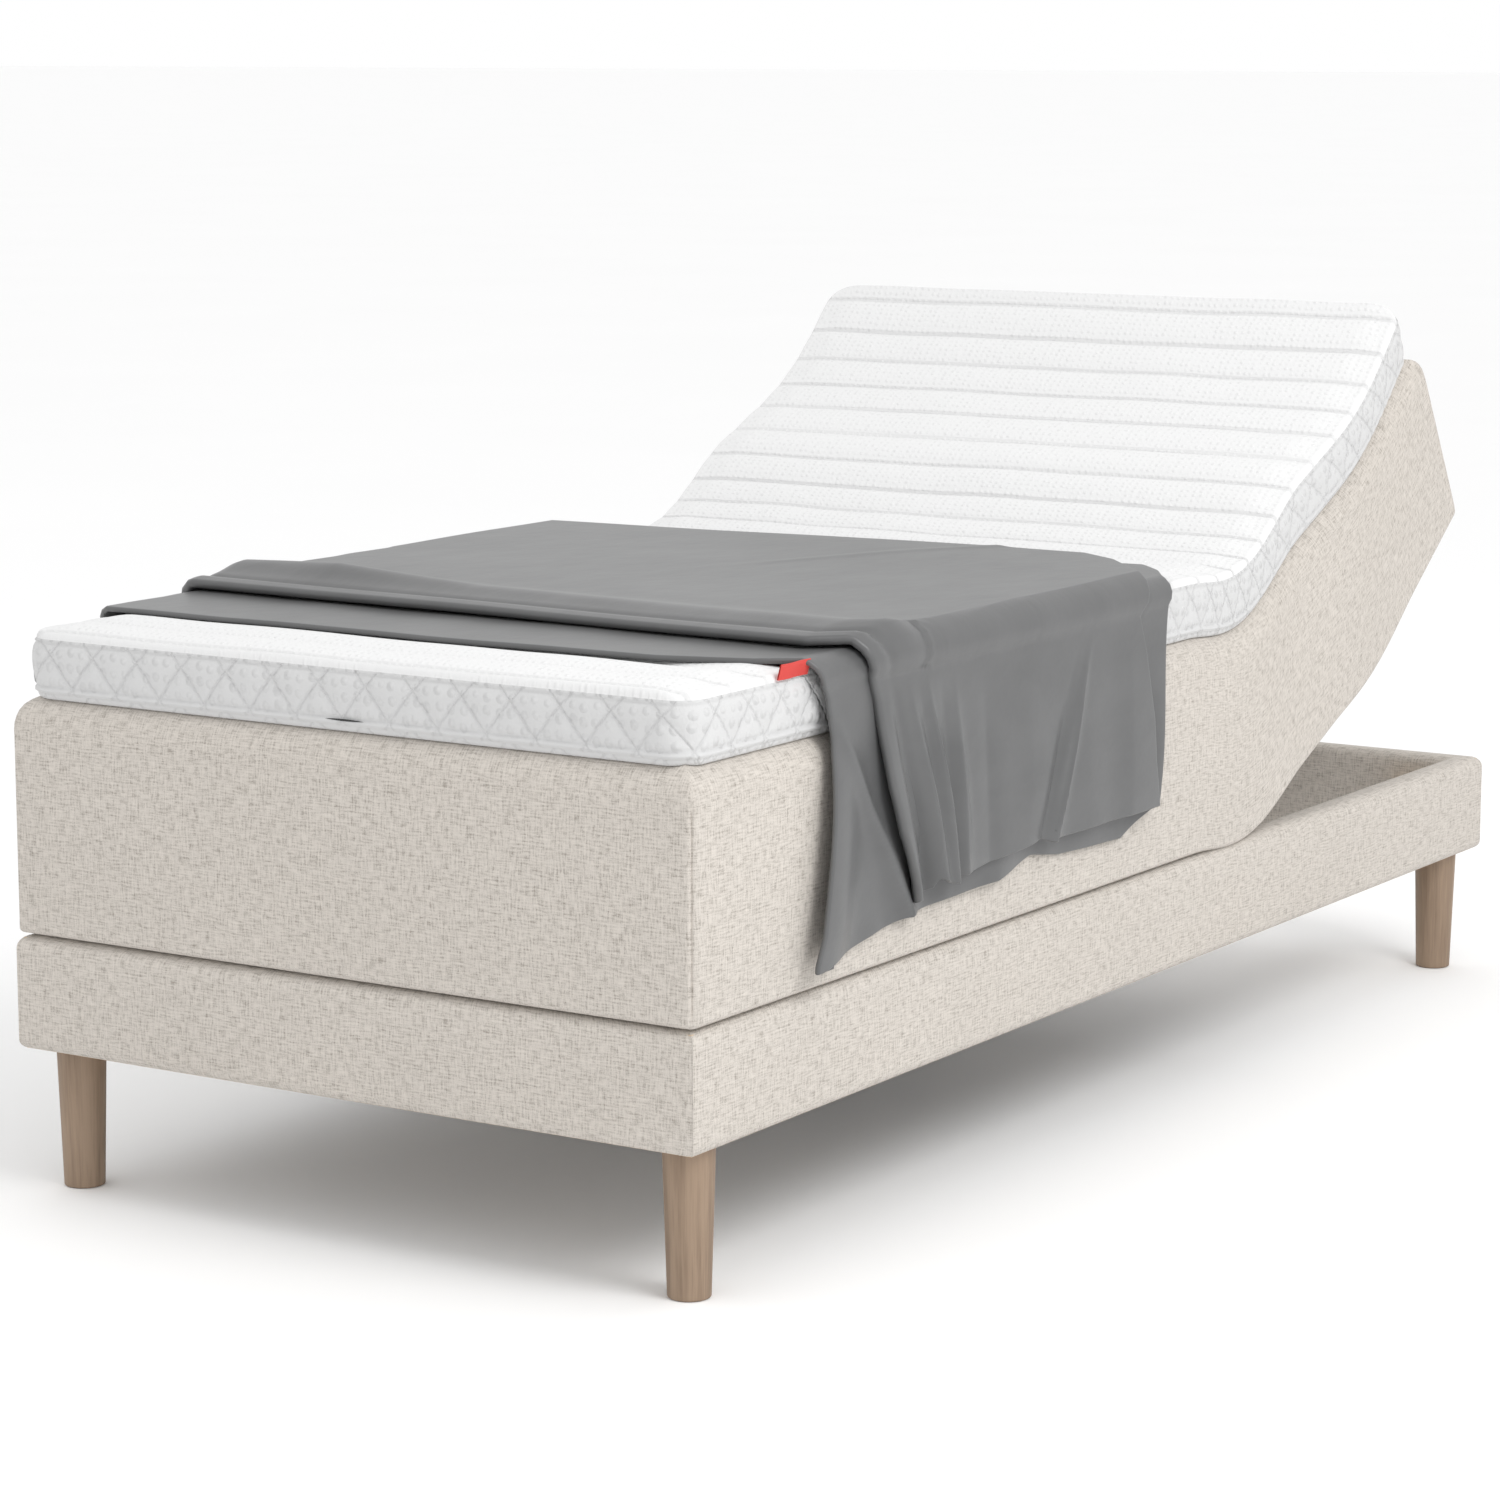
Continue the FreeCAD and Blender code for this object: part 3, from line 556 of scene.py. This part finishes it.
def satin(name, dark, light):
    """Soft satin with small creases and a mild sheen, its colour painted darker in the creases' hollows as shade.
    """
    material, tree, shader = new_material(name)
    nodes = Nodes(tree)
    place = nodes.add("ShaderNodeTexCoord").outputs["UV"]
    crease = nodes.noise(nodes.mapping(place, (14, 9, 9)), 1.0, 4, 0.55)
    thread = nodes.noise(nodes.mapping(place, (1400, 500, 500)), 1.0, 2, 0.5)
    height = nodes.math("ADD", nodes.math("MULTIPLY", crease, 1.0), nodes.math("MULTIPLY", thread, 0.02))
    tree.links.new(nodes.bump(height, 0.25, 0.006), shader.inputs["Normal"])
    # the colour follows the crease height: painted shade in the creases' hollows, lighter colour on their crests
    tree.links.new(nodes.ramp(crease, [(0.3, dark), (0.7, light)]), shader.inputs["Base Color"])
    rough = nodes.math("ADD", nodes.math("MULTIPLY", thread, 0.1), 0.32)
    tree.links.new(rough, shader.inputs["Roughness"])
    shader.inputs["Specular IOR Level"].default_value = 0.5
    shader.inputs["Sheen Weight"].default_value = 0.02
    shader.inputs["Sheen Roughness"].default_value = 0.35
    return material


def wood(name, light, dark, rings, stretch=(1, 1, 0.06)):
    """Wood with its grain along the third axis of stretch."""
    material, tree, shader = new_material(name)
    nodes = Nodes(tree)
    place = nodes.add("ShaderNodeTexCoord").outputs["Object"]
    long_way = nodes.mapping(place, stretch)
    grain = nodes.noise(long_way, rings, 6, 0.62)
    pores = nodes.noise(nodes.mapping(long_way, (9, 9, 3)), rings, 2, 0.5)
    streak = nodes.math("ADD", nodes.math("MULTIPLY", grain, 0.75), nodes.math("MULTIPLY", pores, 0.25))
    tree.links.new(nodes.ramp(streak, [(0.38, dark), (0.62, light)]), shader.inputs["Base Color"])
    tree.links.new(nodes.bump(pores, 0.2, 0.0008), shader.inputs["Normal"])
    rough = nodes.math("ADD", nodes.math("MULTIPLY", pores, 0.15), 0.48)
    tree.links.new(rough, shader.inputs["Roughness"])
    return material


def hard(name, colour, roughness, metallic=0.0, grit=0.15, scale=400.0, bump=0.0003):
    """Painted, plated or moulded surfaces with a fine uneven finish."""
    material, tree, shader = new_material(name)
    nodes = Nodes(tree)
    place = nodes.add("ShaderNodeTexCoord").outputs["Object"]
    fine = nodes.noise(place, scale, 3, 0.6)
    broad = nodes.noise(place, 18.0, 3, 0.5)
    tree.links.new(nodes.bump(fine, 0.35, bump), shader.inputs["Normal"])
    worn = nodes.ramp(broad, [(0.35, tuple(c * 0.88 for c in colour)), (0.65, colour)])
    tree.links.new(worn, shader.inputs["Base Color"])
    rough = nodes.math("ADD", nodes.math("MULTIPLY", broad, grit), roughness - grit / 2)
    tree.links.new(rough, shader.inputs["Roughness"])
    shader.inputs["Metallic"].default_value = metallic
    return material


UNIT_FABRIC = linen("unit_linen", (0.560, 0.520, 0.474), (0.31, 0.280, 0.245))
TOPPER_TOP = knit("topper_top_knit", (0.75, 0.75, 0.75), 105, False, 0.6, 1.3)
# the border's knit is painted darker than the top's (0.60 against 0.75), as shade on the sides
TOPPER_SIDE = knit("topper_side_knit", (0.60, 0.60, 0.60), 66, True, 1.5, 0.55)
SATIN = satin("throw_satin", (0.096, 0.097, 0.098), (0.114, 0.115, 0.116))
RED_TAPE = tape("red_tape", (0.62, 0.06, 0.05))
# black for the painted shade in the zip's opening
ZIP_DARK = hard("zip_shadow", (0.03, 0.03, 0.03), 0.6)

CAD_MATERIALS = {
    "rail_timber": wood("rail_timber", (0.66, 0.50, 0.32), (0.50, 0.35, 0.20), 40, (1, 0.05, 1)),
    "turned_oak": wood("turned_oak", (0.315, 0.225, 0.155), (0.205, 0.140, 0.092), 60),
    "plywood": wood("plywood", (0.68, 0.54, 0.36), (0.55, 0.41, 0.25), 30, (1, 0.05, 1)),
    "zinc_steel": hard("zinc_steel", (0.62, 0.63, 0.65), 0.34, 1.0),
    "frame_steel": hard("frame_steel", (0.035, 0.036, 0.038), 0.42),
    "nylon": hard("nylon", (0.72, 0.72, 0.69), 0.5, 0.0, 0.1, 120.0),
    "drive_plastic": hard("drive_plastic", (0.028, 0.028, 0.03), 0.55, 0.0, 0.1, 900.0, 0.0004),
    "motor_steel": hard("motor_steel", (0.20, 0.21, 0.22), 0.4, 0.8),
    "unit_upholstery": UNIT_FABRIC,
    "base_upholstery": UNIT_FABRIC,
    "foam": hard("foam", (0.80, 0.78, 0.70), 0.95, 0.0, 0.05, 300.0, 0.001),
    "topper_knit": TOPPER_TOP,
    "throw_satin": SATIN,
}


def finish_cad_nodes():
    """Every carried-over CAD node gets the material of its slot."""
    slot_of = {p["node"]: p["material_slot"] for p in frame["record"]["subparts"]}
    for name, node in frame["nodes"].items():
        pieces = node if isinstance(node, (list, tuple)) else [node]
        for piece in pieces:
            for material_slot in piece.material_slots:
                material_slot.material = CAD_MATERIALS[slot_of[name]]


# ---------------------------------------------------------------- camera and light
def make_camera():
    """The photograph's long, slightly raised view of the foot end's right corner."""
    place = Vector((2.7399, -4.4886, 1.2746))
    heading, dip = math.radians(32.498), math.radians(9.445)
    forward = Vector(
        (-math.sin(heading) * math.cos(dip), math.cos(heading) * math.cos(dip), -math.sin(dip))
    )
    data = bpy.data.cameras.new("camera")
    data.lens, data.sensor_width = 102.61, 36.0
    camera = bpy.data.objects.new("camera", data)
    camera.location = place
    camera.rotation_euler = forward.to_track_quat("-Z", "Y").to_euler()
    bpy.context.scene.collection.objects.link(camera)
    bpy.context.scene.camera = camera


def area_light(name, place, target, size, power):
    data = bpy.data.lights.new(name, "AREA")
    data.shape, data.size, data.energy = "DISK", size, power
    light = bpy.data.objects.new(name, data)
    light.location = place
    light.rotation_euler = (Vector(target) - Vector(place)).to_track_quat("-Z", "Y").to_euler()
    bpy.context.scene.collection.objects.link(light)


def make_studio():
    """A pale floor, a white surround, a soft key light on the right and a weak fill."""
    world = bpy.data.worlds.new("studio")
    world.use_nodes = True
    background = world.node_tree.nodes["Background"]
    background.inputs["Color"].default_value = (1, 1, 1, 1)
    background.inputs["Strength"].default_value = 1.0
    bpy.context.scene.world = world
    area_light("key", (3.4, -1.2, 3.4), (0, -0.2, 0.4), 2.2, 80)
    area_light("fill", (-3.5, -4.5, 2.6), (0, -0.4, 0.4), 3.0, 3)
    material, tree, shader = new_material("floor_white")
    nodes = Nodes(tree)
    place = nodes.add("ShaderNodeTexCoord").outputs["Object"]
    pale, paler = (0.965, 0.965, 0.965), (0.975, 0.975, 0.975)
    tone = nodes.ramp(nodes.noise(place, 0.8, 3, 0.5), [(0.3, pale), (0.7, paler)])
    tree.links.new(tone, shader.inputs["Base Color"])
    shader.inputs["Roughness"].default_value = 0.9
    reach, count, below_feet = 150.0, 31, 0.0005
    line = np.linspace(-reach, reach, count)
    x, y = np.meshgrid(line, line)
    shell = Shell()
    shell.add_grid(np.stack([x, y, np.full_like(x, -below_feet)], -1), np.stack([x, y], -1), 0)
    floor = mesh_object("floor", *shell.arrays(), [material])


# ---------------------------------------------------------------- upholstered base
def base_profile():
    """The rail's closed section as (inset from the outer face, z), anticlockwise."""
    low, high = BASE_LOW[2] - RAIL_FABRIC, BASE_HIGH[2]
    points = []
    # inset, z, the corner's radius, and where its arc starts in degrees
    corners = [
        (0.0, low, 0.010, 180),
        (RAIL, low, 0.006, 270),
        (RAIL, high, 0.012, 0),
        (0.0, high, 0.015, 90),
    ]
    for inset, z, radius, start in corners:
        centre = (abs(inset - radius), z + radius if z == low else z - radius)
        for k in range(6):
            angle = math.radians(start + 18 * k)
            points.append((centre[0] + radius * math.cos(angle), centre[1] + radius * math.sin(angle)))
    filled = []
    for (a0, z0), (a1, z1) in zip(points, points[1:] + points[:1]):
        steps = max(1, round(math.hypot(a1 - a0, z1 - z0) / RAIL_STEP))
        filled += [(a0 + (a1 - a0) * k / steps, z0 + (z1 - z0) * k / steps) for k in range(steps)]
    return np.array(filled)


def make_base():
    """The fabric over the rails, with a sewn seam up each corner."""
    profile = base_profile()
    half = (BASE_HIGH[:2] - BASE_LOW[:2]) / 2
    corners = [(-1, -1), (1, -1), (1, 1), (-1, 1)]
    shell = Shell()
    closed = np.concatenate([profile, profile[:1]])
    around = np.concatenate([[0], np.cumsum(np.linalg.norm(np.diff(closed, axis=0), axis=1))])
    # how far the cloth is drawn in at distances from a corner's seam, and its full middle
    ends = np.array([0.0, 0.0022, 0.0045, 0.009, 0.018])
    seam = np.array([0.0, 0.0011, 0.0002, -0.0002, 0.0])
    fullness = 0.0022
    for (x0, y0), (x1, y1) in zip(corners, corners[1:] + corners[:1]):
        side = 2 * half[0] if y0 == y1 else 2 * half[1]
        between = np.linspace(0.03, side - 0.03, round(side / 0.02))
        share = np.concatenate([ends / side, between / side, 1 - ends[::-1] / side])
        dent = np.concatenate([seam, np.zeros(len(share) - 2 * len(seam)), seam[::-1]])
        t = share[:, None]
        inset = closed[None, :, 0]
        start = np.array([x0, y0]) * (half - inset[..., None])
        stop = np.array([x1, y1]) * (half - inset[..., None])
        plan = start + (stop - start) * t[..., None]
        outward = np.array([y1 - y0, x0 - x1]) / 2.0
        outside = np.clip(1 - inset / RAIL, 0, 1)
        belly = fullness * np.sin(np.pi * np.clip(share, 0, 1)) ** 0.5
        height = (closed[:, 1] - BASE_LOW[2]) / (BASE_HIGH[2] - BASE_LOW[2])
        middle = np.sin(np.pi * np.clip(height, 0, 1))
        push = outside * (belly[:, None] * middle[None] - dent[:, None])
        plan = plan + outward * push[..., None]
        z = np.broadcast_to(closed[None, :, 1], plan.shape[:2])
        grid = np.concatenate([plan, z[..., None]], -1)
        uv = np.stack(np.broadcast_arrays(around[None, :], share[:, None] * side), -1)
        shell.add_grid(grid, uv[..., ::-1], 0, flip=True)
    piece = mesh_object("base_upholstery", *shell.arrays(), [UNIT_FABRIC])
    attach(piece, "base")
    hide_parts("base_cover")


# ---------------------------------------------------------------- lifting unit
def unit_swell(length, share, gap):
    """A slightly full side, drawn in along the seam sewn up each corner."""
    ripple = wobble(np.stack([length, np.full_like(length, share)], 1), 0.35, 1)
    full = (0.0030 + 0.0006 * ripple) * math.sin(math.pi * share) * ease(gap, 0, 0.05)
    return full + 0.0008 * ridge(gap, 0.0045, 0.0025) - 0.0022 * ridge(gap, 0, 0.0013)


def make_unit():
    """The padded lifting unit: one cover over all five sections."""
    high = np.array([UNIT_HIGH[0], HEAD_END, UNIT_HIGH[2]])
    shell = box_shell(
        UNIT_LOW, high, UNIT_EDGE, UNIT_FOOT_EDGE, UNIT_CORNER, UNIT_STEP, unit_swell, HEAD_LEAN
    )
    pieces = split_along_bed("unit_cover", shell, [UNIT_FABRIC])
    names = {"legs": ["calf", "thigh"], "seat": ["seat"], "back": ["back"], "head": ["head"]}
    flexes = {"legs": [], "seat": ["thigh_flex"], "back": ["back_flex"], "head": ["head_flex"]}
    for stretch, piece in pieces.items():
        nodes = [f"{s}_{part}" for s in names[stretch] for part in ("cover", "core", "deck")]
        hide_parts(*nodes, *flexes[stretch])


# ---------------------------------------------------------------- topper
def channels(x, y):
    """The relief of channels sewn across the bed, and how far their lines drift."""
    flat = np.stack([x.ravel(), y.ravel()], 1)
    drift = (wobble(flat, 0.5, 2) * 0.0025).reshape(x.shape)
    arch = np.abs(np.sin(np.pi * (y + drift) / CHANNEL))
    from_side = ease(TOP_HIGH[0] - np.abs(x), 0, 0.05)
    puff = 0.0095 * (arch**0.55) * (0.25 + 0.75 * from_side)
    return puff + 0.0012 * from_side * wobble(flat, 0.22, 3).reshape(x.shape), drift


def border_puff(length, share, gap):
    """Diamonds stitched across the border, between a piped and a gathered edge.

    share is how far down the border a place is: the edges end at top_edge and
    low_edge, and the seams beside them at top_seam and low_seam.
    """
    top_edge, top_seam, low_seam, low_edge = 0.05, 0.10, 0.87, 0.905
    if share < top_edge:
        return np.full_like(length, 0.0022)
    if share > low_edge:
        gather = 0.021
        return 0.0030 + 0.0004 * np.sin(2 * math.pi * length / gather)
    if share < top_seam or share > low_seam:
        return np.full_like(length, 0.0010)
    height = TOPPER_THICK - TOPPER_EDGE - share * (TOPPER_THICK - 2 * TOPPER_EDGE) - DIAMOND_ROW
    first = np.abs(np.sin(np.pi * (length + height * DIAMOND_SLOPE) / DIAMOND))
    second = np.abs(np.sin(np.pi * (length - height * DIAMOND_SLOPE) / DIAMOND))
    puff = np.minimum(first, second) ** 0.5
    crown = math.sin(math.pi * (share - top_seam) / (low_seam - top_seam)) ** 0.4
    return 0.0012 + 0.0046 * puff * crown


def make_topper():
    """The quilted topper, with its diamond-stitched border."""
    rise = (UNIT_HIGH[2] - UNIT_LOW[2]) * HEAD_LEAN
    low = np.array([TOP_LOW[0], TOP_LOW[1], TOP_LOW[2] + TOPPER_CLEAR])
    high = np.array([TOP_HIGH[0], HEAD_END - TOPPER_INSET + rise, low[2] + TOPPER_THICK])
    shell = box_shell(
        low, high, TOPPER_EDGE, TOPPER_EDGE, TOPPER_CORNER, TOPPER_STEP, border_puff,
        lean=2 * HEAD_LEAN, droop=TOPPER_DROOP, slots=(0, 1, 1), top_of=channels,
    )
    pieces = split_along_bed("topper", shell, [TOPPER_TOP, TOPPER_SIDE])
    names = {"legs": ["calf_topper", "thigh_topper"], "seat": ["seat_topper"]}
    names.update({"back": ["back_topper"], "head": ["head_topper"]})
    for stretch, piece in pieces.items():
        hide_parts(*names[stretch])


def make_tag():
    """A plain red loop of tape sewn into the topper's right-hand top edge."""
    x, low, high, foot, head, half_gap = 0.4405, 0.627, 0.643, -0.826, -0.770, 0.0008
    slant, ripple, ripples = 0.25, 0.001, 130
    profile = [(x - half_gap, z) for z in np.linspace(low, high, 6)]
    for angle in np.radians(np.linspace(-90, 90, 9)):
        profile.append((x + half_gap * math.sin(angle), high + half_gap * math.cos(angle)))
    profile += [(x + half_gap, z) for z in np.linspace(high, low, 6)]
    section = np.array(profile)
    ys = np.linspace(foot, head, 12)
    across = section[None, :, 0] + slant * (section[None, :, 1] - low)
    shape = (len(ys), len(section))
    grid = np.stack([
        across + ripple * np.sin(ys * ripples)[:, None],
        np.broadcast_to(ys[:, None], shape),
        np.broadcast_to(section[None, :, 1], shape),
    ], -1)
    uv = np.stack([grid[..., 1], grid[..., 2]], -1)
    shell = Shell()
    shell.add_grid(grid, uv, 0)
    piece = mesh_object("topper_tag", *shell.arrays(), [RED_TAPE])
    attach(piece, "calf")


def make_zip_gap():
    """A black sheet of painted shade where the cover's zip stands a little open under the foot border's tape."""
    t = np.linspace(-1, 1, 17)[None]
    across = np.linspace(-1, 1, 5)[:, None]
    middle_x, middle_z, half, tall, proud = 0.009, 0.5715, 0.026, 0.0012, 0.0046
    x = middle_x + half * t + 0 * across
    z = middle_z + tall * (1 - t**2) * across
    y = np.full_like(x, TOP_LOW[1] - proud)
    shell = Shell()
    shell.add_grid(np.stack([x, y, z], -1), np.stack([x, z], -1), 0)
    piece = mesh_object("topper_zip_gap", *shell.arrays(), [ZIP_DARK])
    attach(piece, "calf")


# ---------------------------------------------------------------- throw
# The throw is folded in two. Its lower half shows at the foot side, along the hem
# and at the head side; its upper half is folded under again where it starts.
class Layer:
    """One half of the throw, laid over the topper and hanging down both sides.

    lie(x, y, from_foot) is its height over the topper. clear is how far out its bend
    lies, and stand how far it hangs off the side. foot and head are its ends on the
    topper as (x, y) pairs; the pulls say how far an end moves along the bed at a
    length past the topper's edge; hem is its lower edge as (y, z) pairs; creases are
    (y at the top, y at the hem, width, height); flare is how far its foot end opens.
    """

    def __init__(self, lie, clear, stand, foot, head, foot_pull, head_pull, hem, creases, flare, seed):
        self.lie, self.clear, self.stand, self.seed = lie, clear, stand, seed
        self.foot, self.head, self.hem = np.array(foot), np.array(head), np.array(hem)
        self.foot_pull, self.head_pull = np.array(foot_pull), np.array(head_pull)
        self.creases, self.flare = creases, flare

    def grid(self, rows, columns):
        s, v = np.broadcast_arrays(np.linspace(-1, 1, columns)[None], np.linspace(0, 1, rows)[:, None])
        side, flat_half = np.sign(s), EDGE_X + self.clear - EDGE_R
        y = self.foot[0, 1] + (self.head[0, 1] - self.foot[0, 1]) * v
        for _ in range(3):
            fall = TOP_HIGH[2] - EDGE_R - HEM_FOLD - np.interp(y, *self.hem.T)
            out = np.abs(s) * (flat_half + EDGE_ARC + fall)
            past = np.maximum(out - flat_half, 0)
            x_top = side * np.minimum(out, flat_half)
            start = np.interp(x_top, *self.foot.T) + np.interp(past, *self.foot_pull.T)
            stop = np.interp(x_top, *self.head.T) + np.interp(past, *self.head_pull.T)
            y = start + (stop - start) * v
        angle = np.clip(past / EDGE_R, 0, math.pi / 2)
        drop = np.maximum(past - EDGE_ARC, 0)
        rise = self.lie(x_top, y, y - start)
        radius = EDGE_R + rise * (1 - 0.9 * angle / (math.pi / 2))
        proud = self.proud(side, y, drop, y - start, stop - y)
        x = x_top + side * (radius * np.sin(angle) + proud)
        z = TOP_HIGH[2] - EDGE_R + radius * np.cos(angle) - drop
        return np.stack([x, y, z], -1), np.stack([s * 0.75, y + 0.1 * self.seed], -1)

    def proud(self, side, y, drop, from_foot, from_head):
        """How far the hanging cloth stands away from the bed."""
        free_below, whole_drop = 0.20, 0.28
        hang = ease(drop, 0.0, free_below)
        share = np.clip(drop / whole_drop, 0, 1)
        points = np.stack([y.ravel() * 1.0, drop.ravel() * 0.25 + side.ravel()], 1)
        waves = wobble(points, 0.13, 20 + self.seed).reshape(y.shape)
        total = self.stand * hang + 0.003 * waves * hang
        total = total + self.flare * hang * ridge(from_foot, 0, 0.055)
        total = total + 0.35 * self.flare * hang * ridge(from_head, 0, 0.04)
        for top, low, width, height in self.creases:
            centre = top + (low - top) * share + 0.012 * (side < 0)
            total = total + height * hang * pleat(y, centre, width * (0.7 + 0.8 * share))
        return MOST_PROUD * np.tanh(np.maximum(total, 0.0) / MOST_PROUD)


def grid_normals(points):
    """The normal at each point of a grid."""
    across = np.gradient(points, axis=1)
    along = np.gradient(points, axis=0)
    normals = np.cross(across, along)
    return normals / np.linalg.norm(normals, axis=-1, keepdims=True)


def fold_under(points, uv, radius, under, steps=7):
    """Adds rows before the first one, turned under it in a round fold."""
    normal = grid_normals(points)[0]
    out = points[0] - points[1]
    out /= np.linalg.norm(out, axis=-1, keepdims=True)
    arc = np.linspace(0, math.pi, steps + 1)[1:]
    along = np.concatenate([radius * np.sin(arc), -np.linspace(0, under, 5)[1:]])
    down = np.concatenate([radius * (1 - np.cos(arc)), np.full(4, 2 * radius)])
    length = np.concatenate([radius * arc, radius * math.pi + np.linspace(0, under, 5)[1:]])
    rows = [points[0] + out * a - normal * d for a, d in zip(along, down)]
    step = uv[0] - uv[1]
    step = step / np.maximum(np.linalg.norm(step, axis=-1, keepdims=True), 1e-9)
    coords = [uv[0] + step * g for g in length]
    return np.concatenate([rows[::-1], points]), np.concatenate([coords[::-1], uv])


def all_hems(points, uv, foot, head, hem):
    """Folds each edge of a grid under by (radius, width)."""
    points, uv = fold_under(points, uv, *foot)
    points, uv = fold_under(points[::-1, ::-1], uv[::-1, ::-1], *head)
    points, uv = points[::-1, ::-1], uv[::-1, ::-1]
    points, uv = points.swapaxes(0, 1)[:, ::-1], uv.swapaxes(0, 1)[:, ::-1]
    points, uv = fold_under(points, uv, *hem)
    points, uv = fold_under(points[::-1, ::-1], uv[::-1, ::-1], *hem)
    points, uv = points[:, ::-1].swapaxes(0, 1)[:, ::-1], uv[:, ::-1].swapaxes(0, 1)[:, ::-1]
    return points, uv


def lower_lie(x, y, from_foot):
    """The lower half lies almost flat on the topper."""
    return 0.0165 + 0.0008 * wobble(np.stack([x.ravel(), y.ravel()], 1), 0.25, 31).reshape(x.shape)


def upper_lie(x, y, from_foot):
    """The upper half's creases on top: a rolled start, then a soft swell beside it."""
    flat = np.stack([x.ravel() * 0.6, y.ravel()], 1)
    broad = wobble(flat, 0.34, 32).reshape(x.shape)
    swell = np.interp(x, [-0.45, -0.30, -0.1, 0.2, 0.45], [0.012, 0.020, 0.009, 0.007, 0.008])
    where = np.interp(x, [-0.45, 0.45], [0.095, 0.075])
    rise = 0.0300 + 0.0016 * broad + swell * ridge(from_foot, where, 0.036)
    rise = rise - 0.0035 * ridge(from_foot, 0.030, 0.007) + 0.002 * ridge(from_foot, 0.014, 0.010)
    return rise + 0.006 * ridge(x, -0.02 + 0.5 * (y + 0.3), 0.012) * ease(y, -0.30, -0.1) * 0.25


LOWER = Layer(
    lower_lie, 0.0, 0.002,
    foot=[(-0.45, -0.845), (0.0, -0.85), (0.30, -0.84), (0.40, -0.805), (0.455, -0.765)],
    head=[(-0.45, 0.045), (0.0, 0.06), (0.30, 0.11), (0.37, 0.12), (0.41, 0.08), (0.455, 0.01)],
    foot_pull=[(0, 0), (0.035, 0.025), (0.08, 0.025), (0.28, -0.015), (0.31, -0.03)],
    head_pull=[(0, 0), (0.025, -0.015), (0.255, -0.055)],
    hem=[(-0.80, 0.32), (-0.70, 0.33), (-0.58, 0.345), (-0.40, 0.35), (-0.315, 0.365), (-0.25, 0.355),
         (-0.10, 0.35), (-0.03, 0.38)],
    creases=[(-0.77, -0.585, 0.013, 0.013), (-0.70, -0.64, 0.025, -0.004), (-0.42, -0.40, 0.03, 0.004)],
    flare=0.032, seed=1,
)
UPPER = Layer(
    upper_lie, 0.006, 0.011,
    foot=[(-0.46, -0.69), (0.2, -0.705), (0.41, -0.72), (0.46, -0.68)],
    head=[
        (-0.46, 0.035), (-0.2, 0.05), (0.0, 0.07), (0.17, 0.10), (0.30, 0.10), (0.36, 0.06),
        (0.46, -0.055),
    ],
    foot_pull=[(0, 0), (0.025, 0.02), (0.05, 0.03), (0.145, 0.045), (0.195, 0.06), (0.275, 0.105)],
    head_pull=[(0, 0), (0.025, -0.03), (0.07, -0.015), (0.15, -0.005), (0.20, -0.005), (0.255, 0.005)],
    hem=[(-0.58, 0.36), (-0.56, 0.38), (-0.53, 0.37), (-0.32, 0.385), (-0.305, 0.38), (-0.05, 0.38)],
    creases=[
        (-0.64, -0.565, 0.010, -0.030), (-0.605, -0.54, 0.009, 0.014), (-0.585, -0.53, 0.007, -0.008),
        (-0.565, -0.52, 0.009, 0.020), (-0.535, -0.50, 0.011, -0.012), (-0.505, -0.49, 0.010, 0.010),
        (-0.44, -0.43, 0.020, -0.006), (-0.18, -0.325, 0.008, 0.015), (-0.21, -0.345, 0.012, -0.006),
        (-0.33, -0.36, 0.04, 0.003), (-0.09, -0.11, 0.03, 0.003),
    ],
    flare=0.010, seed=2,
)


def make_throw():
    """Both halves of the throw, cut into stretches at the bed's hinges.

    Each hem is folded under by (radius, width): a hem at the lower half's foot end, and
    the rolled fold at the upper half's.
    """
    shell = Shell()
    for layer, foot in ((LOWER, (0.0032, 0.030)), (UPPER, (0.0055, 0.045))):
        points, uv = layer.grid(170, 260)
        points, uv = all_hems(points, uv, foot, (0.0028, 0.02), (0.0022, 0.012))
        shell.add_grid(points, uv, 0)
    pieces = split_along_bed("throw", shell, [SATIN], THROW_STRETCHES, bent=False)
    for stretch, piece in pieces.items():
        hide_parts("throw")


make_camera()
make_studio()
finish_cad_nodes()
make_base()
make_unit()
make_topper()
make_tag()
make_zip_gap()
make_throw()

bpy.context.scene.view_settings.view_transform = "Standard"
